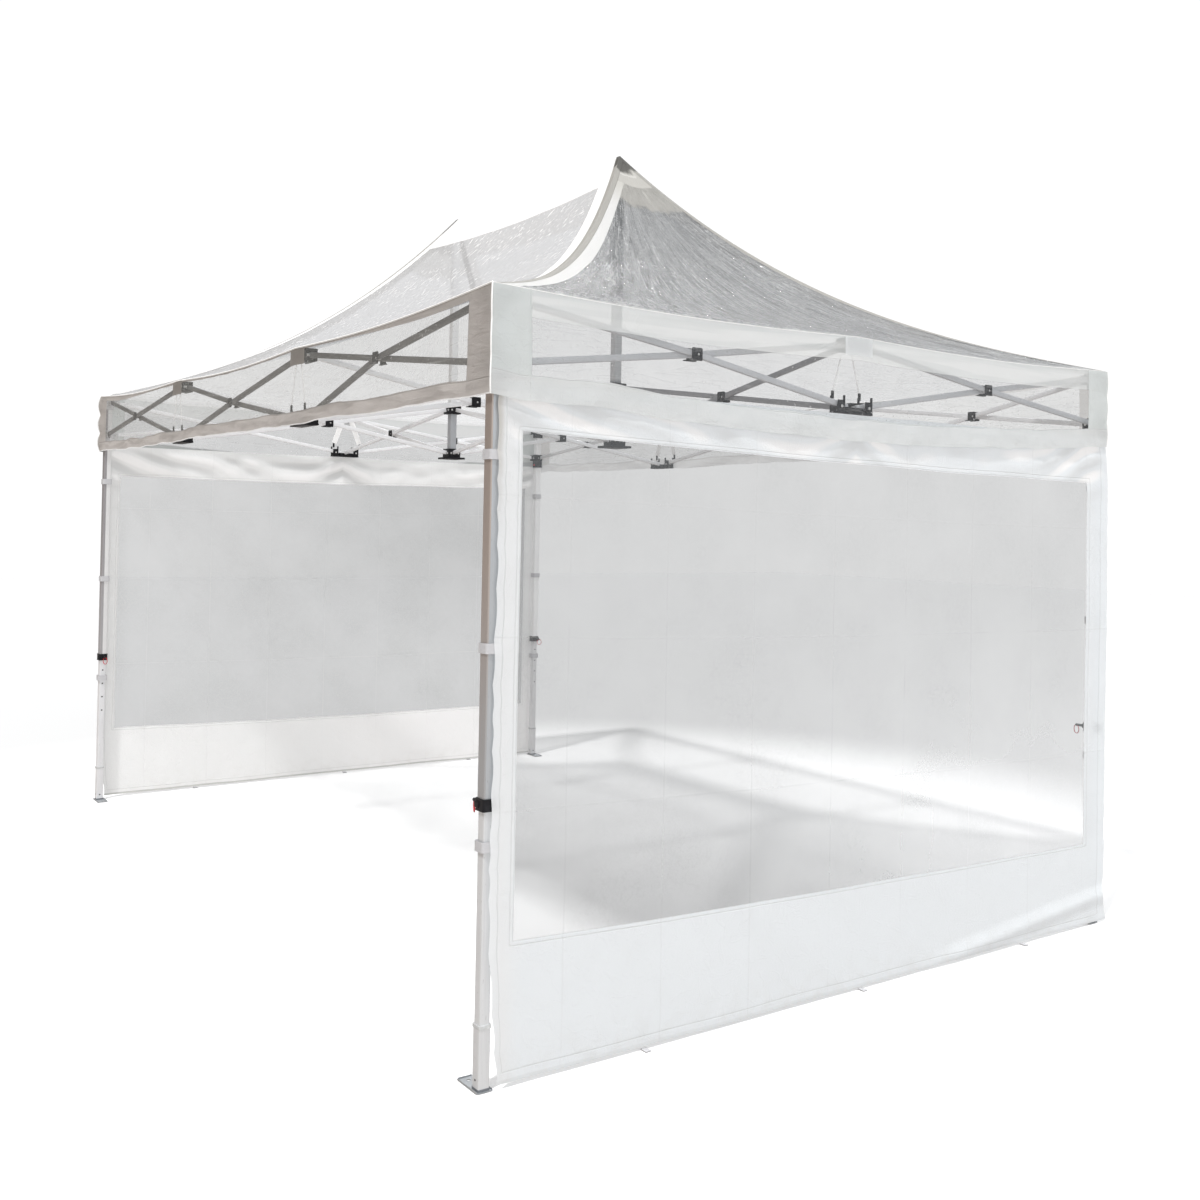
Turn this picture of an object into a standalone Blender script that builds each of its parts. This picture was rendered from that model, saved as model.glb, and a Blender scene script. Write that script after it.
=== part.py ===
"""Pop-up marquee tent, 4.5 m by 3 m, with a clear two-peaked roof and a clear-windowed wall at each end.

Frame: metres, +Z up, the origin on the ground in the middle of the footprint.
X runs along the long open sides, and the front is the side towards -Y.
"""
import math

import bmesh
import bpy
from mathutils import Vector

# Plan, over the outer faces of the fabric
LENGTH = 4.5
WIDTH = 3.0
HALF_X = LENGTH / 2
HALF_Y = WIDTH / 2

# Heights of the cover
EAVE_Z = 2.325
PEAK_Z = 3.306
PEAK_X = 0.77
HIP_STRAIGHT_SHARE = 0.41
HIP_POWER = 2.7
RIDGE_SAG = 0.025
SLOPE_SAG = 0.03
SIDE_EAVE_DROP = 0.038
END_EAVE_DROP = 0.007
EAVE_SCALLOP = 0.016
SIDE_BAYS = 3
END_BAYS = 2
VALANCE_LOW_Z = 2.003
END_VALANCE_SAG = 0.055
SIDE_VALANCE_SAG = 0.008
SHEET = 0.004
GAP = 0.0003

# End walls, which hang inside the end valances
WALL_SHEET = 0.003
WALL_TOP_Z = 2.040
WALL_LOW_Z = 0.006
WALL_END_Y = 1.475
WINDOW_END_Y = 1.385
WINDOW_LOW_Z = 0.40
WINDOW_TOP_Z = 1.87

# Telescoping legs
LEG_X = 2.217
LEG_Y = 1.467
LEG_TUBE = 0.040
LEG_WALL = 0.0015
LEG_LOW_Z = 0.80
HEAD_LOW_Z = 2.245
HEAD_TOP_CLEARANCE = 0.003
INNER_TUBE = 0.034
INNER_TOP_Z = 1.50
GUIDE_TALL = 0.060
SLEEVE_TUBE = 0.038
SLEEVE_TOP_Z = 0.190
FOOT_PLATE = 0.006
FOOT_IN = 0.095
FOOT_OUT = 0.017
FOOT_HALF_Y = 0.027
PEG_HOLE_R = 0.006
PEG_HOLE_IN = 0.070
CLAMP_TALL = 0.040
CLAMP_ACROSS = 0.050
KNOB_R = 0.010
KNOB_OUT = 0.022
KNOB_LONG = 0.026

# Fittings on the legs
COLLAR_ACROSS = 0.050
HEAD_PIVOT_Z = 2.289
SLIDER_PIVOT_Z = 2.100
SLIDER_BELOW_PIVOT = 0.065
SLIDER_ABOVE_PIVOT = 0.025
FORK_LONG = 0.034
FORK_PLATE = 0.004
FORK_HALF_TALL = 0.0195
FORK_ROOT = 0.001

# Scissor trusses
BAR_TALL = 0.026
BAR_THICK = 0.0132
BAR_OFFSET = 0.0065
BAR_REACH = 0.015
PLATE_SIDE = 0.042
PLATE_THICK = 0.004
PIN_R = 0.008
PIN_SPARE = 0.006

# Hubs between the crosses
SIDE_HIGH_HUB_Z = 2.262
SIDE_LOW_HUB_Z = 2.016
END_HIGH_HUB_Z = 2.290
END_LOW_HUB_Z = 2.068
HUB_ACROSS = 0.050
HUB_HALF = 0.058
HUB_BELOW_PIVOT = 0.026
HUB_ROOF_CLEARANCE = 0.002
LOW_BLOCK_HALF = 0.044
LOW_BLOCK_ABOVE = 0.019
BASE_HALF = 0.086
BASE_TALL = 0.014
EAR_TALL = 0.065
EAR_LONG = 0.034
EAR_ACROSS = 0.044

# Centre posts
POST_TUBE = 0.038
POST_LOW_Z = 1.980
POST_LOW_PIVOT_Z = 2.015
POST_HIGH_PIVOT_Z = 2.250
POST_BLOCK = 0.072
POST_BLOCK_HALF_TALL = 0.022
POST_BASE = 0.110
POST_BASE_TALL = 0.010
POST_PAD_R = 0.024
POST_PAD_TALL = 0.020

# Fineness of the sheets
ROOF_STEPS = 12
ROOF_CROWDING = 1.3
SIDE_STATIONS = 12
END_STATIONS = 8


def clear_scene():
    for thing in list(bpy.data.objects):
        bpy.data.objects.remove(thing, do_unlink=True)


def material(name, colour, roughness, metallic=0.0, alpha=1.0):
    made = bpy.data.materials.new(name)
    made.use_nodes = True
    shader = made.node_tree.nodes["Principled BSDF"]
    shader.inputs["Base Color"].default_value = (*colour, 1.0)
    shader.inputs["Roughness"].default_value = roughness
    shader.inputs["Metallic"].default_value = metallic
    shader.inputs["Alpha"].default_value = alpha
    return made


def add_object(name, shape, finish):
    """Turns a bmesh into a named object with one material."""
    bmesh.ops.recalc_face_normals(shape, faces=shape.faces)
    mesh = bpy.data.meshes.new(name)
    shape.to_mesh(mesh)
    shape.free()
    mesh.materials.append(finish)
    made = bpy.data.objects.new(name, mesh)
    bpy.context.scene.collection.objects.link(made)
    return made


def hide_as_cutter(thing):
    thing.hide_render = True
    thing.display_type = "WIRE"


def join_with(thing, other, operation="UNION"):
    """Joins or cuts one object with another, which is kept as a hidden guide."""
    hide_as_cutter(other)
    change = thing.modifiers.new(operation.title(), "BOOLEAN")
    change.operation = operation
    change.solver = "EXACT"
    change.use_self = operation == "UNION"
    change.object = other


def add_box(shape, low, high):
    """Adds a plain box between two corners."""
    made = bmesh.ops.create_cube(shape, size=1.0)
    size = Vector(high) - Vector(low)
    bmesh.ops.scale(shape, vec=size, verts=made["verts"])
    bmesh.ops.translate(shape, vec=(Vector(high) + Vector(low)) / 2, verts=made["verts"])


def add_upright(shape, x, y, across, low, high):
    """Adds a square bar that stands on end."""
    half = across / 2
    add_box(shape, (x - half, y - half, low), (x + half, y + half, high))


def add_rod(shape, centre, direction, radius, length, sides=8):
    """Adds a round rod along X, Y or Z."""
    made = bmesh.ops.create_cone(
        shape, cap_ends=True, segments=sides, radius1=radius, radius2=radius, depth=length
    )
    turn = Vector((0, 0, 1)).rotation_difference(Vector(direction)).to_matrix()
    bmesh.ops.rotate(shape, matrix=turn, verts=made["verts"])
    bmesh.ops.translate(shape, vec=centre, verts=made["verts"])


def add_ring(shape, centre_xy, outer, inner, low, high):
    """Adds a square tube that stands on end, open at both ends."""
    corners = [(-1, -1), (1, -1), (1, 1), (-1, 1)]
    loops = []
    for half in (outer / 2, inner / 2):
        loops.append([
            shape.verts.new((centre_xy[0] + x * half, centre_xy[1] + y * half, low)) for x, y in corners
        ])
    faces = []
    for i in range(4):
        j = (i + 1) % 4
        faces.append(shape.faces.new((loops[0][i], loops[0][j], loops[1][j], loops[1][i])))
    grown = bmesh.ops.extrude_face_region(shape, geom=faces, use_keep_orig=True)
    tops = [item for item in grown["geom"] if isinstance(item, bmesh.types.BMVert)]
    bmesh.ops.translate(shape, vec=(0, 0, high - low), verts=tops)


class Run:
    """A truss line: the place of a point by its distance along it, across it and its height."""

    def __init__(self, origin, along_x):
        self.origin = Vector((origin[0], origin[1], 0))
        self.along = Vector((1, 0, 0)) if along_x else Vector((0, 1, 0))
        self.across = Vector((0, 1, 0)) if along_x else Vector((1, 0, 0))

    def at(self, distance, side, height):
        return self.origin + self.along * distance + self.across * side + Vector((0, 0, height))

    def box(self, shape, low, high):
        """Adds a box between two (distance, side, height) corners."""
        a, b = self.at(*low), self.at(*high)
        low_corner = [min(a[i], b[i]) for i in range(3)]
        high_corner = [max(a[i], b[i]) for i in range(3)]
        add_box(shape, low_corner, high_corner)


def add_bar(shape, run, start, end, side):
    """Adds a truss bar between two (distance, height) points, with upright ends."""
    slope = math.atan2(end[1] - start[1], abs(end[0] - start[0]))
    half = BAR_TALL / 2 / math.cos(slope)
    made = bmesh.ops.create_cube(shape, size=1.0)
    for vert in made["verts"]:
        distance, height = start if vert.co.x < 0 else end
        lift = half if vert.co.z > 0 else -half
        push = side + math.copysign(BAR_THICK / 2, vert.co.y)
        vert.co = run.at(distance, push, height + lift)


def crossing(first, second):
    """Where two bars, each a pair of (distance, height) points, cross."""
    (x0, z0), (x1, z1) = first
    (x2, z2), (x3, z3) = second
    slope_a = (z1 - z0) / (x1 - x0)
    slope_b = (z3 - z2) / (x3 - x2)
    x = (z2 - z0 + slope_a * x0 - slope_b * x2) / (slope_a - slope_b)
    return x, z0 + slope_a * (x - x0)


def add_scissor(shape, run, falling, rising):
    """Adds two crossed bars with their pin and the two plates that hold it."""
    add_bar(shape, run, falling[0], falling[1], BAR_OFFSET)
    add_bar(shape, run, rising[0], rising[1], -BAR_OFFSET)
    x, z = crossing(falling, rising)
    outer = BAR_OFFSET + BAR_THICK / 2
    add_rod(shape, run.at(x, 0, z), run.across, PIN_R, 2 * (outer + PLATE_THICK) + PIN_SPARE)
    for way in (-1, 1):
        near = way * (outer - GAP)
        far = way * (outer + PLATE_THICK)
        half = PLATE_SIDE / 2
        run.box(shape, (x - half, near, z - half), (x + half, far, z + half))


def add_high_hub(shape, run, distance, height, top):
    """Adds an upper truss hub, a block that carries the cover's edge."""
    half = HUB_ACROSS / 2
    low = height - HUB_BELOW_PIVOT
    run.box(shape, (distance - HUB_HALF, -half, low), (distance + HUB_HALF, half, top))


def add_low_hub(shape, run, distance, height):
    """Adds a lower truss hub: a base plate, a block on it and the upright ears that hold the bar ends."""
    half = HUB_ACROSS / 2
    low = height - HUB_BELOW_PIVOT
    base_top = low + BASE_TALL
    run.box(shape, (distance - BASE_HALF, -half, low), (distance + BASE_HALF, half, base_top))
    across = half - PLATE_THICK / 2
    block = LOW_BLOCK_HALF
    top = height + LOW_BLOCK_ABOVE
    run.box(shape, (distance - block, -across, low + GAP), (distance + block, across, top))
    for way in (-1, 1):
        inner = distance + way * (BASE_HALF - EAR_LONG)
        outer = distance + way * (BASE_HALF - GAP)
        across = EAR_ACROSS / 2
        run.box(shape, (inner, -across, low + GAP), (outer, across, low + EAR_TALL))


def solid_from(name, shape, finish):
    """Makes one closed body of the overlapping solids in a bmesh."""
    shape.verts.ensure_lookup_table()
    first = collect_island(shape.verts[0])
    keep = bmesh.new()
    copies = {}
    for vert in first:
        copies[vert] = keep.verts.new(vert.co)
    for face in {face for vert in first for face in vert.link_faces}:
        keep.faces.new([copies[vert] for vert in face.verts])
    bmesh.ops.delete(shape, geom=list(first), context="VERTS")
    body = add_object(name, keep, finish)
    rest = add_object(name + "_rest", shape, finish)
    join_with(body, rest)
    return body


def collect_island(start):
    """All vertices of the solid that a vertex belongs to."""
    found = {start}
    waiting = [start]
    while waiting:
        for edge in waiting.pop().link_edges:
            for vert in edge.verts:
                if vert not in found:
                    found.add(vert)
                    waiting.append(vert)
    return found


def hip_share(s):
    """Height of a hip above the eave as a share of the peak's, from 1 at the peak to 0 at the corner."""
    return HIP_STRAIGHT_SHARE * (1 - s) + (1 - HIP_STRAIGHT_SHARE) * (1 - s) ** HIP_POWER


def eave_drop(share, bays, hub_drop):
    """How far an eave hangs below its corners: it sinks to the hubs and a little more between them."""
    return 4 * hub_drop * share * (1 - share) + EAVE_SCALLOP * abs(math.sin(math.pi * bays * share))


class Slope:
    """One of the four slopes of the cover: s runs from the ridge to the eave, t from one hip to the next."""

    def __init__(self, first_corner, second_corner):
        self.corners = (first_corner, second_corner)
        self.is_side = first_corner[1] == second_corner[1]
        self.bays = SIDE_BAYS if self.is_side else END_BAYS
        self.hub_drop = SIDE_EAVE_DROP if self.is_side else END_EAVE_DROP
        self.stations = SIDE_STATIONS if self.is_side else END_STATIONS

    def hip_point(self, corner, s):
        peak_x = math.copysign(PEAK_X, corner[0])
        return Vector((peak_x + (corner[0] - peak_x) * s, corner[1] * s, 0))

    def at(self, s, t):
        first, second = (self.hip_point(corner, s) for corner in self.corners)
        place = first.lerp(second, t)
        belly = math.sin(math.pi * t)
        sag = SLOPE_SAG * math.sin(math.pi * s) * belly
        if self.is_side:
            sag += RIDGE_SAG * (1 - s) * belly
        sag += eave_drop(t, self.bays, self.hub_drop) * s ** 4
        place.z = EAVE_Z + (PEAK_Z - EAVE_Z) * hip_share(s) - sag
        return place


def make_roof(finish):
    """The whole cover as one thin sheet: four slopes that meet at the hips and the ridge."""
    corners = [(-HALF_X, -HALF_Y), (HALF_X, -HALF_Y), (HALF_X, HALF_Y), (-HALF_X, HALF_Y)]
    shape = bmesh.new()
    for first, second in zip(corners, corners[1:] + corners[:1]):
        slope = Slope(first, second)
        rows = []
        for i in range(ROOF_STEPS + 1):
            s = (i / ROOF_STEPS) ** ROOF_CROWDING
            rows.append([shape.verts.new(slope.at(s, j / slope.stations)) for j in range(slope.stations + 1)])
        for upper, lower in zip(rows, rows[1:]):
            for j in range(slope.stations):
                shape.faces.new((upper[j], lower[j], lower[j + 1], upper[j + 1]))
    bmesh.ops.remove_doubles(shape, verts=shape.verts, dist=0.0001)
    bmesh.ops.dissolve_degenerate(shape, edges=shape.edges, dist=0.0001)
    top_faces = list(shape.faces)
    grown = bmesh.ops.extrude_face_region(shape, geom=top_faces, use_keep_orig=True)
    under = [item for item in grown["geom"] if isinstance(item, bmesh.types.BMVert)]
    bmesh.ops.translate(shape, vec=(0, 0, -SHEET), verts=under)
    bmesh.ops.triangulate(shape, faces=shape.faces)
    return add_object("roof", shape, finish)


def make_valance(name, run, is_side, outward, finish):
    """A hanging flap along one eave, with its lower edge sagging between the corners."""
    eave_half = HALF_X if is_side else HALF_Y
    half_length = HALF_X - SHEET - GAP if is_side else HALF_Y
    stations = SIDE_STATIONS if is_side else END_STATIONS
    bays = SIDE_BAYS if is_side else END_BAYS
    hub_drop = SIDE_EAVE_DROP if is_side else END_EAVE_DROP
    sag = SIDE_VALANCE_SAG if is_side else END_VALANCE_SAG
    shape = bmesh.new()
    lower, upper = [], []
    for i in range(stations + 1):
        u = i / stations
        distance = half_length * (2 * u - 1)
        share = (distance + eave_half) / (2 * eave_half)
        low = VALANCE_LOW_Z - sag * math.sin(math.pi * u)
        top = EAVE_Z - eave_drop(share, bays, hub_drop) - SHEET - 2 * GAP
        lower.append(shape.verts.new(run.at(distance, 0, low)))
        upper.append(shape.verts.new(run.at(distance, 0, top)))
    faces = []
    for i in range(stations):
        faces.append(shape.faces.new((lower[i], lower[i + 1], upper[i + 1], upper[i])))
    grown = bmesh.ops.extrude_face_region(shape, geom=faces, use_keep_orig=True)
    moved = [item for item in grown["geom"] if isinstance(item, bmesh.types.BMVert)]
    bmesh.ops.translate(shape, vec=-outward * SHEET * run.across, verts=moved)
    return add_object(name, shape, finish)


def make_outer_leg(name, x, y, finish):
    shape = bmesh.new()
    add_ring(shape, (x, y), LEG_TUBE, LEG_TUBE - 2 * LEG_WALL, LEG_LOW_Z, HEAD_LOW_Z - GAP)
    return add_object(name, shape, finish)


def make_inner_leg(name, x, y, finish):
    """The sliding tube: a guide at its top, and a wider foot sleeve on the plate that is pegged down."""
    inward = -math.copysign(1, x)
    guide = LEG_TUBE - 2 * LEG_WALL - 2 * GAP
    shape = bmesh.new()
    add_upright(shape, x, y, INNER_TUBE, FOOT_PLATE / 3, INNER_TOP_Z - GUIDE_TALL / 2)
    add_upright(shape, x, y, guide, INNER_TOP_Z - GUIDE_TALL, INNER_TOP_Z)
    add_upright(shape, x, y, SLEEVE_TUBE, FOOT_PLATE / 2, SLEEVE_TOP_Z)
    ends = sorted((x + inward * FOOT_IN, x - inward * FOOT_OUT))
    add_box(shape, (ends[0], y - FOOT_HALF_Y, 0), (ends[1], y + FOOT_HALF_Y, FOOT_PLATE))
    body = solid_from(name, shape, finish)
    holes = bmesh.new()
    add_rod(holes, (x + inward * PEG_HOLE_IN, y, 0), (0, 0, 1), PEG_HOLE_R, 6 * FOOT_PLATE, 10)
    join_with(body, add_object(name + "_holes", holes, finish), "DIFFERENCE")
    return body


def make_clamp(name, x, y, finish):
    """The black height clamp at the outer leg's lower end, with its lock pin on the side towards the middle."""
    shape = bmesh.new()
    low = LEG_LOW_Z
    add_ring(shape, (x, y), CLAMP_ACROSS, LEG_TUBE + 2 * GAP, low, low + CLAMP_TALL)
    body = add_object(name, shape, finish)
    knob = bmesh.new()
    inward = -math.copysign(1, x)
    middle = x + inward * (CLAMP_ACROSS / 2 + KNOB_OUT - KNOB_LONG / 2)
    add_rod(knob, (middle, y, low + CLAMP_TALL / 2), (1, 0, 0), KNOB_R, KNOB_LONG, 10)
    join_with(body, add_object(name + "_knob", knob, finish))
    return body


def add_fork(shape, x, y, along_x, pivot_z, side):
    """Adds the two cheek plates between which a bar's end is pinned, on one side of a leg fitting."""
    run = Run((x, y), along_x)
    way = -math.copysign(1, x if along_x else y)
    near = COLLAR_ACROSS / 2 - FORK_ROOT
    far = COLLAR_ACROSS / 2 + FORK_LONG
    for cheek in (-1, 1):
        inner = side + cheek * (BAR_THICK / 2 + GAP)
        outer = side + cheek * (BAR_THICK / 2 + GAP + FORK_PLATE)
        low, high = pivot_z - FORK_HALF_TALL, pivot_z + FORK_HALF_TALL
        run.box(shape, (way * near, inner, low), (way * far, outer, high))


def make_corner_head(name, x, y, finish):
    """The cap on a leg that the upper bar ends are pinned to."""
    shape = bmesh.new()
    top = EAVE_Z - SHEET - HEAD_TOP_CLEARANCE
    half = COLLAR_ACROSS / 2
    add_box(shape, (x - half, y - half, HEAD_LOW_Z), (x + half, y + half, top))
    add_fork(shape, x, y, True, HEAD_PIVOT_Z, bar_side(x, True))
    add_fork(shape, x, y, False, HEAD_PIVOT_Z, bar_side(y, True))
    return solid_from(name, shape, finish)


def make_slider(name, x, y, finish):
    """The collar that locks on a leg and carries the lower bar ends."""
    shape = bmesh.new()
    low, high = SLIDER_PIVOT_Z - SLIDER_BELOW_PIVOT, SLIDER_PIVOT_Z + SLIDER_ABOVE_PIVOT
    add_ring(shape, (x, y), COLLAR_ACROSS, LEG_TUBE + 2 * GAP, low, high)
    body = add_object(name, shape, finish)
    forks = bmesh.new()
    add_fork(forks, x, y, True, SLIDER_PIVOT_Z, bar_side(x, False))
    add_fork(forks, x, y, False, SLIDER_PIVOT_Z, bar_side(y, False))
    join_with(body, add_object(name + "_forks", forks, finish))
    return body


def bar_side(place, is_high):
    """Which side of the truss line a bar's end lies on: falling bars lie on one, rising on the other."""
    falling = (place < 0) == is_high
    return BAR_OFFSET if falling else -BAR_OFFSET


def make_edge_truss(name, run, is_side, finish):
    """The scissor truss between two legs, joined by the hubs between its crosses."""
    shape = bmesh.new()
    leg_place = LEG_X if is_side else LEG_Y
    hubs = (-PEAK_X, PEAK_X) if is_side else (0,)
    high_z = SIDE_HIGH_HUB_Z if is_side else END_HIGH_HUB_Z
    low_z = SIDE_LOW_HUB_Z if is_side else END_LOW_HUB_Z
    reach = leg_place - COLLAR_ACROSS / 2 - GAP
    stations = [-reach, *hubs, reach]
    for i, (start, end) in enumerate(zip(stations, stations[1:])):
        first, last = i == 0, i == len(stations) - 2
        begin = start if first else start + LOW_BLOCK_HALF - BAR_REACH
        stop = end if last else end - LOW_BLOCK_HALF + BAR_REACH
        high_begin, low_begin = (HEAD_PIVOT_Z, SLIDER_PIVOT_Z) if first else (high_z, low_z)
        high_stop, low_stop = (HEAD_PIVOT_Z, SLIDER_PIVOT_Z) if last else (high_z, low_z)
        falling = ((begin, high_begin), (stop, low_stop))
        rising = ((begin, low_begin), (stop, high_stop))
        add_scissor(shape, run, falling, rising)
    half_eave = HALF_X if is_side else HALF_Y
    bays = SIDE_BAYS if is_side else END_BAYS
    hub_drop = SIDE_EAVE_DROP if is_side else END_EAVE_DROP
    for hub in hubs:
        share = (hub + half_eave) / (2 * half_eave)
        top = EAVE_Z - eave_drop(share, bays, hub_drop) - SHEET - HUB_ROOF_CLEARANCE
        add_high_hub(shape, run, hub, high_z, top)
        add_low_hub(shape, run, hub, low_z)
    return solid_from(name, shape, finish)


def make_inner_scissor(name, run, start, end, high, low, finish):
    """One cross of the inner trusses; high and low give its pivot heights at both ends."""
    shape = bmesh.new()
    falling = ((start, high[0]), (end, low[1]))
    rising = ((start, low[0]), (end, high[1]))
    add_scissor(shape, run, falling, rising)
    return solid_from(name, shape, finish)


def make_centre_post(name, x, finish):
    """A centre post: tube, base plate, lower and upper truss blocks and the round pad under the roof's peak."""
    shape = bmesh.new()
    end_slope = Slope((HALF_X, -HALF_Y), (HALF_X, HALF_Y))
    rim = end_slope.at(POST_PAD_R / (HALF_X - PEAK_X), 0.5)
    pad_top = rim.z - SHEET - 2 * GAP
    pad_middle = pad_top - POST_PAD_TALL / 2
    base_top = POST_LOW_Z + POST_BASE_TALL
    add_upright(shape, x, 0, POST_BASE, POST_LOW_Z, base_top)
    add_upright(shape, x, 0, POST_TUBE, POST_LOW_Z + POST_BASE_TALL / 2, pad_middle)
    add_upright(shape, x, 0, POST_BLOCK, base_top - GAP, POST_LOW_PIVOT_Z + POST_BLOCK_HALF_TALL)
    low, high = POST_HIGH_PIVOT_Z - POST_BLOCK_HALF_TALL, POST_HIGH_PIVOT_Z + POST_BLOCK_HALF_TALL
    add_upright(shape, x, 0, POST_BLOCK, low, high)
    add_rod(shape, (x, 0, pad_middle), (0, 0, 1), POST_PAD_R, POST_PAD_TALL, 12)
    return solid_from(name, shape, finish)


def make_end_wall(side_name, way, fabric, clear):
    """An end wall: the fabric border with its window opening, and the clear sheet in it."""
    outer = HALF_X - SHEET - GAP
    inner = outer - WALL_SHEET
    low_x, high_x = sorted((way * inner, way * outer))
    shape = bmesh.new()
    add_box(shape, (low_x, -WALL_END_Y, WALL_LOW_Z), (high_x, WALL_END_Y, WALL_TOP_Z))
    border = add_object(side_name + "_wall_border", shape, fabric)
    hole = bmesh.new()
    edge = WINDOW_END_Y
    add_box(hole, (low_x - LEG_TUBE, -edge, WINDOW_LOW_Z), (high_x + LEG_TUBE, edge, WINDOW_TOP_Z))
    join_with(border, add_object(side_name + "_wall_cutter", hole, fabric), "DIFFERENCE")
    pane = bmesh.new()
    add_box(
        pane,
        (low_x, -edge + GAP, WINDOW_LOW_Z + GAP),
        (high_x, edge - GAP, WINDOW_TOP_Z - GAP),
    )
    add_object(side_name + "_wall_window", pane, clear)


def build():
    clear_scene()
    aluminium = material("brushed aluminium", (0.55, 0.55, 0.56), 0.38, 0.9)
    black = material("black nylon", (0.025, 0.025, 0.027), 0.45)
    fabric = material("white coated polyester", (0.86, 0.86, 0.85), 0.6)
    clear = material("clear film", (0.86, 0.9, 0.92), 0.12, 0.0, 0.3)

    for depth_name, y in (("front", -LEG_Y), ("back", LEG_Y)):
        for side_name, x in (("left", -LEG_X), ("right", LEG_X)):
            corner = f"{depth_name}_{side_name}"
            make_outer_leg(f"outer_leg_{corner}", x, y, aluminium)
            make_inner_leg(f"inner_leg_{corner}", x, y, aluminium)
            make_clamp(f"leg_clamp_{corner}", x, y, black)
            make_corner_head(f"corner_head_{corner}", x, y, black)
            make_slider(f"corner_slider_{corner}", x, y, black)

    for name, y in (("front_truss", -LEG_Y), ("back_truss", LEG_Y)):
        make_edge_truss(name, Run((0, y), True), True, aluminium)
    for name, x in (("left_truss", -LEG_X), ("right_truss", LEG_X)):
        make_edge_truss(name, Run((x, 0), False), False, aluminium)

    block = POST_BLOCK / 2 + GAP
    hub_face = LEG_Y - HUB_ACROSS / 2 - GAP
    for side_name, x in (("left", -PEAK_X), ("right", PEAK_X)):
        make_centre_post(f"centre_post_{side_name}", x, aluminium)
        run = Run((x, 0), False)
        high = (SIDE_HIGH_HUB_Z, POST_HIGH_PIVOT_Z)
        low = (SIDE_LOW_HUB_Z, POST_LOW_PIVOT_Z)
        make_inner_scissor(f"cross_scissor_front_{side_name}", run, -hub_face, -block, high, low, aluminium)
        make_inner_scissor(
            f"cross_scissor_back_{side_name}", run, block, hub_face, high[::-1], low[::-1], aluminium
        )

    middle = Run((0, 0), True)
    both_high = (POST_HIGH_PIVOT_Z, POST_HIGH_PIVOT_Z)
    both_low = (POST_LOW_PIVOT_Z, POST_LOW_PIVOT_Z)
    inner_end = PEAK_X - block
    make_inner_scissor("middle_scissor", middle, -inner_end, inner_end, both_high, both_low, aluminium)
    outer_end = LEG_X - HUB_ACROSS / 2 - GAP
    high = (END_HIGH_HUB_Z, POST_HIGH_PIVOT_Z)
    low = (END_LOW_HUB_Z, POST_LOW_PIVOT_Z)
    make_inner_scissor("end_scissor_left", middle, -outer_end, -PEAK_X - block, high, low, aluminium)
    make_inner_scissor(
        "end_scissor_right", middle, PEAK_X + block, outer_end, high[::-1], low[::-1], aluminium
    )

    make_roof(clear)
    make_valance("front_valance", Run((0, -HALF_Y), True), True, -1, clear)
    make_valance("back_valance", Run((0, HALF_Y), True), True, 1, clear)
    make_valance("left_valance", Run((-HALF_X, 0), False), False, -1, clear)
    make_valance("right_valance", Run((HALF_X, 0), False), False, 1, clear)
    make_end_wall("left", -1, fabric, clear)
    make_end_wall("right", 1, fabric, clear)


build()
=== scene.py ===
import math

import bmesh
import bpy
from mathutils import Matrix, Vector, noise


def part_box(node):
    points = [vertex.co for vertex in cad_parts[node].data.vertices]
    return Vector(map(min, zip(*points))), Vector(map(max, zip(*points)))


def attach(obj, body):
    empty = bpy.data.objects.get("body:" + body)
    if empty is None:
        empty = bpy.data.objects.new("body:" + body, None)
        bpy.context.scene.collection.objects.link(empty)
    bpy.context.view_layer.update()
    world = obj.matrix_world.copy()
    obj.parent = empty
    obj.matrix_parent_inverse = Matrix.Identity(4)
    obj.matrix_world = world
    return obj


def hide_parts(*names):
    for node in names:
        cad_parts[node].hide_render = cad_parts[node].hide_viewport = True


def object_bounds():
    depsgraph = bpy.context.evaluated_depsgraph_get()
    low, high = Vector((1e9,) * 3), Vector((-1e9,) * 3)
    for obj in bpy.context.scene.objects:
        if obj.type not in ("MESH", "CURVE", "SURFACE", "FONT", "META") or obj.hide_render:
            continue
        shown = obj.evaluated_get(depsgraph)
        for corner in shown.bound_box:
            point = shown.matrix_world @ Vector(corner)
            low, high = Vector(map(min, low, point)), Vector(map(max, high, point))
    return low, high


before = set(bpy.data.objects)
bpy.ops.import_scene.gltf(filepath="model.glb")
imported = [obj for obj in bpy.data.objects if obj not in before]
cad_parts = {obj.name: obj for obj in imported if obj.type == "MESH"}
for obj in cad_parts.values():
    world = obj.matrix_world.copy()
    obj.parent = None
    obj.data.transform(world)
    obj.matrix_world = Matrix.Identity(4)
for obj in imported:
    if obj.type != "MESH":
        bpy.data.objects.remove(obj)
cad_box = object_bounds()

# Pop-up marquee tent, 4.5 m by 3 m, with a clear two-peaked roof and a clear-windowed wall at each end.
# Metres, +Z up, the origin on the ground in the middle of the footprint.
# X runs along the long open sides, and the front is the side towards -Y.

# Camera, floor and light
# The view is from eye level, off the front right corner. The floor and the air round the tent are plain
# white. A high key light throws the tent's shadow towards the back, and one from behind glints on the film.

EYE = Vector((5.386, -3.305, 1.629))
EYE_TURN = math.radians(55.0)
EYE_TILT = math.radians(-0.8)
EYE_ROLL = math.radians(1.09)
FOCAL_MM = 37.8
SENSOR_MM = 36.0
PICTURE_SHIFT = -0.0764
FLOOR_HALF = 30.0
FLOOR_DROP = 0.0015
FLOOR_SEEN = (1.0, 1.0, 1.0)
FLOOR_SEEN_FAR = (0.60, 0.60, 0.60)
FLOOR_BOUNCE = (0.42, 0.39, 0.37)
FLOOR_FADE = (2.7, 4.6)


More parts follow.
